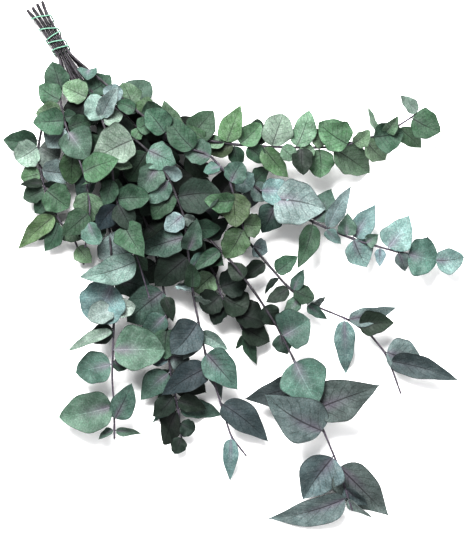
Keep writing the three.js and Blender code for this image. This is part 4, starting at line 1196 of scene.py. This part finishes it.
# The stalk, and the midrib that it runs into on the blade's lower side.
def ribMesh(leaf, nature):
    form = leafForm
    onBladeRings = form["ribRings"] - 2
    shares = np.linspace(form["bladeFrom"], form["ribTo"], onBladeRings)
    onBlade = bladeSurface(leaf, nature, shares, np.zeros(onBladeRings))
    onBlade = onBlade - leafFrame(leaf)[2] * form["ribSink"]
    onBlade[:, 2] = np.maximum(onBlade[:, 2], form["ribRadius"])
    first = leaf["base"]
    halfway = first + (onBlade[0] - first) * form["stalkMiddle"]
    points = np.concatenate([[first, halfway], onBlade])
    size = min(1, form["leastRib"] + leaf["length"] / form["fullRibLength"])
    thin = np.linspace(form["ribRadius"], form["ribTip"], onBladeRings)
    radii = np.concatenate([form["stalkRadii"], thin]) * size
    corners, faces, ends, ring = tube(points, radii, form["ribSides"])
    chart = np.stack([np.full(len(corners), 0.5), np.concatenate([[0, 0], shares])[ring]], 1)
    return corners, faces + ends, chart, np.zeros(len(corners))


# A leaf's colour: its tone, a random lighter or darker and warmer or cooler cast, and painted shade that
# darkens it by how much of it other leaves cover.
def leafTint(leaf, nature, cover):
    form = leafForm
    colour = np.array(leafTones[leaf["tone"]]) * form["depth"] * (1 + form["lightSpread"] * nature["light"])
    warm = form["warmSpread"] * nature["warm"]
    return colour * (1 - form["paintedShadeUnderCover"] * min(1, cover)) * np.array([1 + warm, 1, 1 - warm])


# leafForm is red on the underside, green where a leaf blushes and blue where its veins are pale.
def addLeaves(number, spray):
    parts, charts, tints, forms = [], [], [], []
    for at, leaf in enumerate(leaves):
        if leaf["spray"] != number:
            continue
        nature = drawn(leafForm["traits"], leafForm["seed"] + leafForm["seedStep"] * at)
        tint = leafTint(leaf, nature, covers[at])
        pale = float(leaf["tone"] in paleVeinTones and nature["phase"] > leafForm["darkVeinShare"])
        blush = 1.0 if leaf["tone"] in blushingTones else leafForm["faintBlush"]
        for points, shapes, chart, under in (bladeMesh(leaf, nature), ribMesh(leaf, nature)):
            parts.append((points, shapes))
            charts.append(chart)
            tints.append(np.tile(tint, (len(points), 1)))
            forms.append(np.stack([under, np.full(len(points), blush), np.full(len(points), pale)], 1))
    piece = addPiece(f"leaves_{number + 1:02d}", parts, [leafMaterial])
    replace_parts(piece, spray["node"])
    addMap(piece.data, "blade", np.concatenate(charts))
    addColours(piece.data, "leafTint", np.concatenate(tints))
    addColours(piece.data, "leafForm", np.concatenate(forms))


for number, spray in enumerate(sprays):
    addLeaves(number, spray)
print("leaves made")


# Stems.

stemForm = {
    "sides": 12, "smoothing": 2, "swell": 0.11, "swellReach": 1.1, "uneven": 0.06, "unevenPace": 0.5,
    "unevenPhase": 6, "cutSlant": 0.8, "budLength": 3.2, "budRadius": 1.0,
    "budStations": (0.3, 0.6, 0.85, 1), "budShape": (0.95, 0.9, 0.5, 0.1), "seed": 6100,
}


def addStem(number):
    form = stemForm
    sides = form["sides"]
    path = paths[number].copy()
    for _ in range(form["smoothing"]):
        path[1:-1] = (path[:-2] + 2 * path[1:-1] + path[2:]) / 4
    roll = dice(form["seed"] + number)
    steps = np.arange(len(path))
    radii = stemRadiusAt(path, steps)
    for leaf in leaves:
        if leaf["spray"] == number:
            nearness = np.exp(-((steps - leaf["step"]) / form["swellReach"]) ** 2)
            radii = radii * (1 + form["swell"] * nearness)
    wave = np.sin(steps * (form["unevenPace"] + roll()) + form["unevenPhase"] * roll())
    radii = radii * (1 + form["uneven"] * wave)
    ahead = path[-1] - path[-2]
    ahead /= lengthOf(ahead)
    bud = np.array([path[-1] + ahead * form["budLength"] * share for share in form["budStations"]])
    points = np.concatenate([path, bud])
    radii = np.concatenate([radii, form["budRadius"] * np.array(form["budShape"])])
    corners, faces, ends, ring = tube(points, radii, sides)
    slant = 2 * math.pi * roll()
    turn = np.arange(sides) / sides * 2 * math.pi
    inward = path[1] - path[0]
    inward /= lengthOf(inward)
    corners[:sides] += inward * (form["cutSlant"] * (1 + np.cos(turn + slant)))[:, None] / 2
    name = f"stem_{number + 1:02d}"
    piece = addPiece(name, [(corners, faces + ends)], [barkMaterial, cutWoodMaterial])
    piece.data.polygons[len(faces)].material_index = 1
    chart = np.stack([np.tile(turn / (2 * math.pi), len(points)), ring / len(points)], 1)
    addMap(piece.data, "bark", chart)


for number in range(len(sprays)):
    addStem(number)
print("stems made")


# The elastic tie.

tieForm = {
    "radius": 0.75, "gap": 0.7, "squareness": 6, "sides": 10, "stepsPerTurn": 48, "arch": 4, "slant": 4,
    # Each strand passes through a list of (turn, distance along the bundle).
    # A turn of 0 is on the right side of the bundle, 0.25 on top and 0.5 on its left side.
    "strands": [
        [(0.5, -1), (-0.5, 12), (-1.5, 29), (-2.5, 38), (-3.5, 41)],
        [(-0.03, 20.4), (0.53, 29.1)],
    ],
}


def strandPoint(strand, share):
    form = tieForm
    turnsPassed, distances = zip(*strand)
    passed = share * (len(strand) - 1)
    angle = float(np.interp(passed, range(len(strand)), turnsPassed)) * 2 * math.pi
    tilt = form["slant"] / 2 * math.cos(angle) - form["arch"] / 2 * math.sin(angle)
    along = float(np.interp(passed, range(len(strand)), distances)) + tilt
    out = stem["radius"] + form["radius"] + form["gap"]
    spread = float(np.interp(along, *zip(*bundle["stations"])))
    halfWide = bundle["middleColumn"] * bundle["pitch"] * spread + out
    halfHigh = bundle["rise"] + out
    power = form["squareness"]
    outwards = (abs(math.cos(angle)) ** power + abs(math.sin(angle)) ** power) ** (-1 / power)
    up = bundle["lowest"] + bundle["rise"] + halfHigh * math.sin(angle) * outwards
    return bundlePlace(along, halfWide * math.cos(angle) * outwards, up)


def addTie():
    parts = []
    for strand in tieForm["strands"]:
        steps = round(abs(strand[-1][0] - strand[0][0]) * tieForm["stepsPerTurn"])
        points = [strandPoint(strand, step / steps) for step in range(steps + 1)]
        radii = np.full(len(points), tieForm["radius"])
        corners, faces, ends, _ = tube(points, radii, tieForm["sides"])
        parts.append((corners, faces + ends))
    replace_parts(addPiece("elastic_tie", parts, [tieMaterial]), "tie")


addTie()
print("tie made")
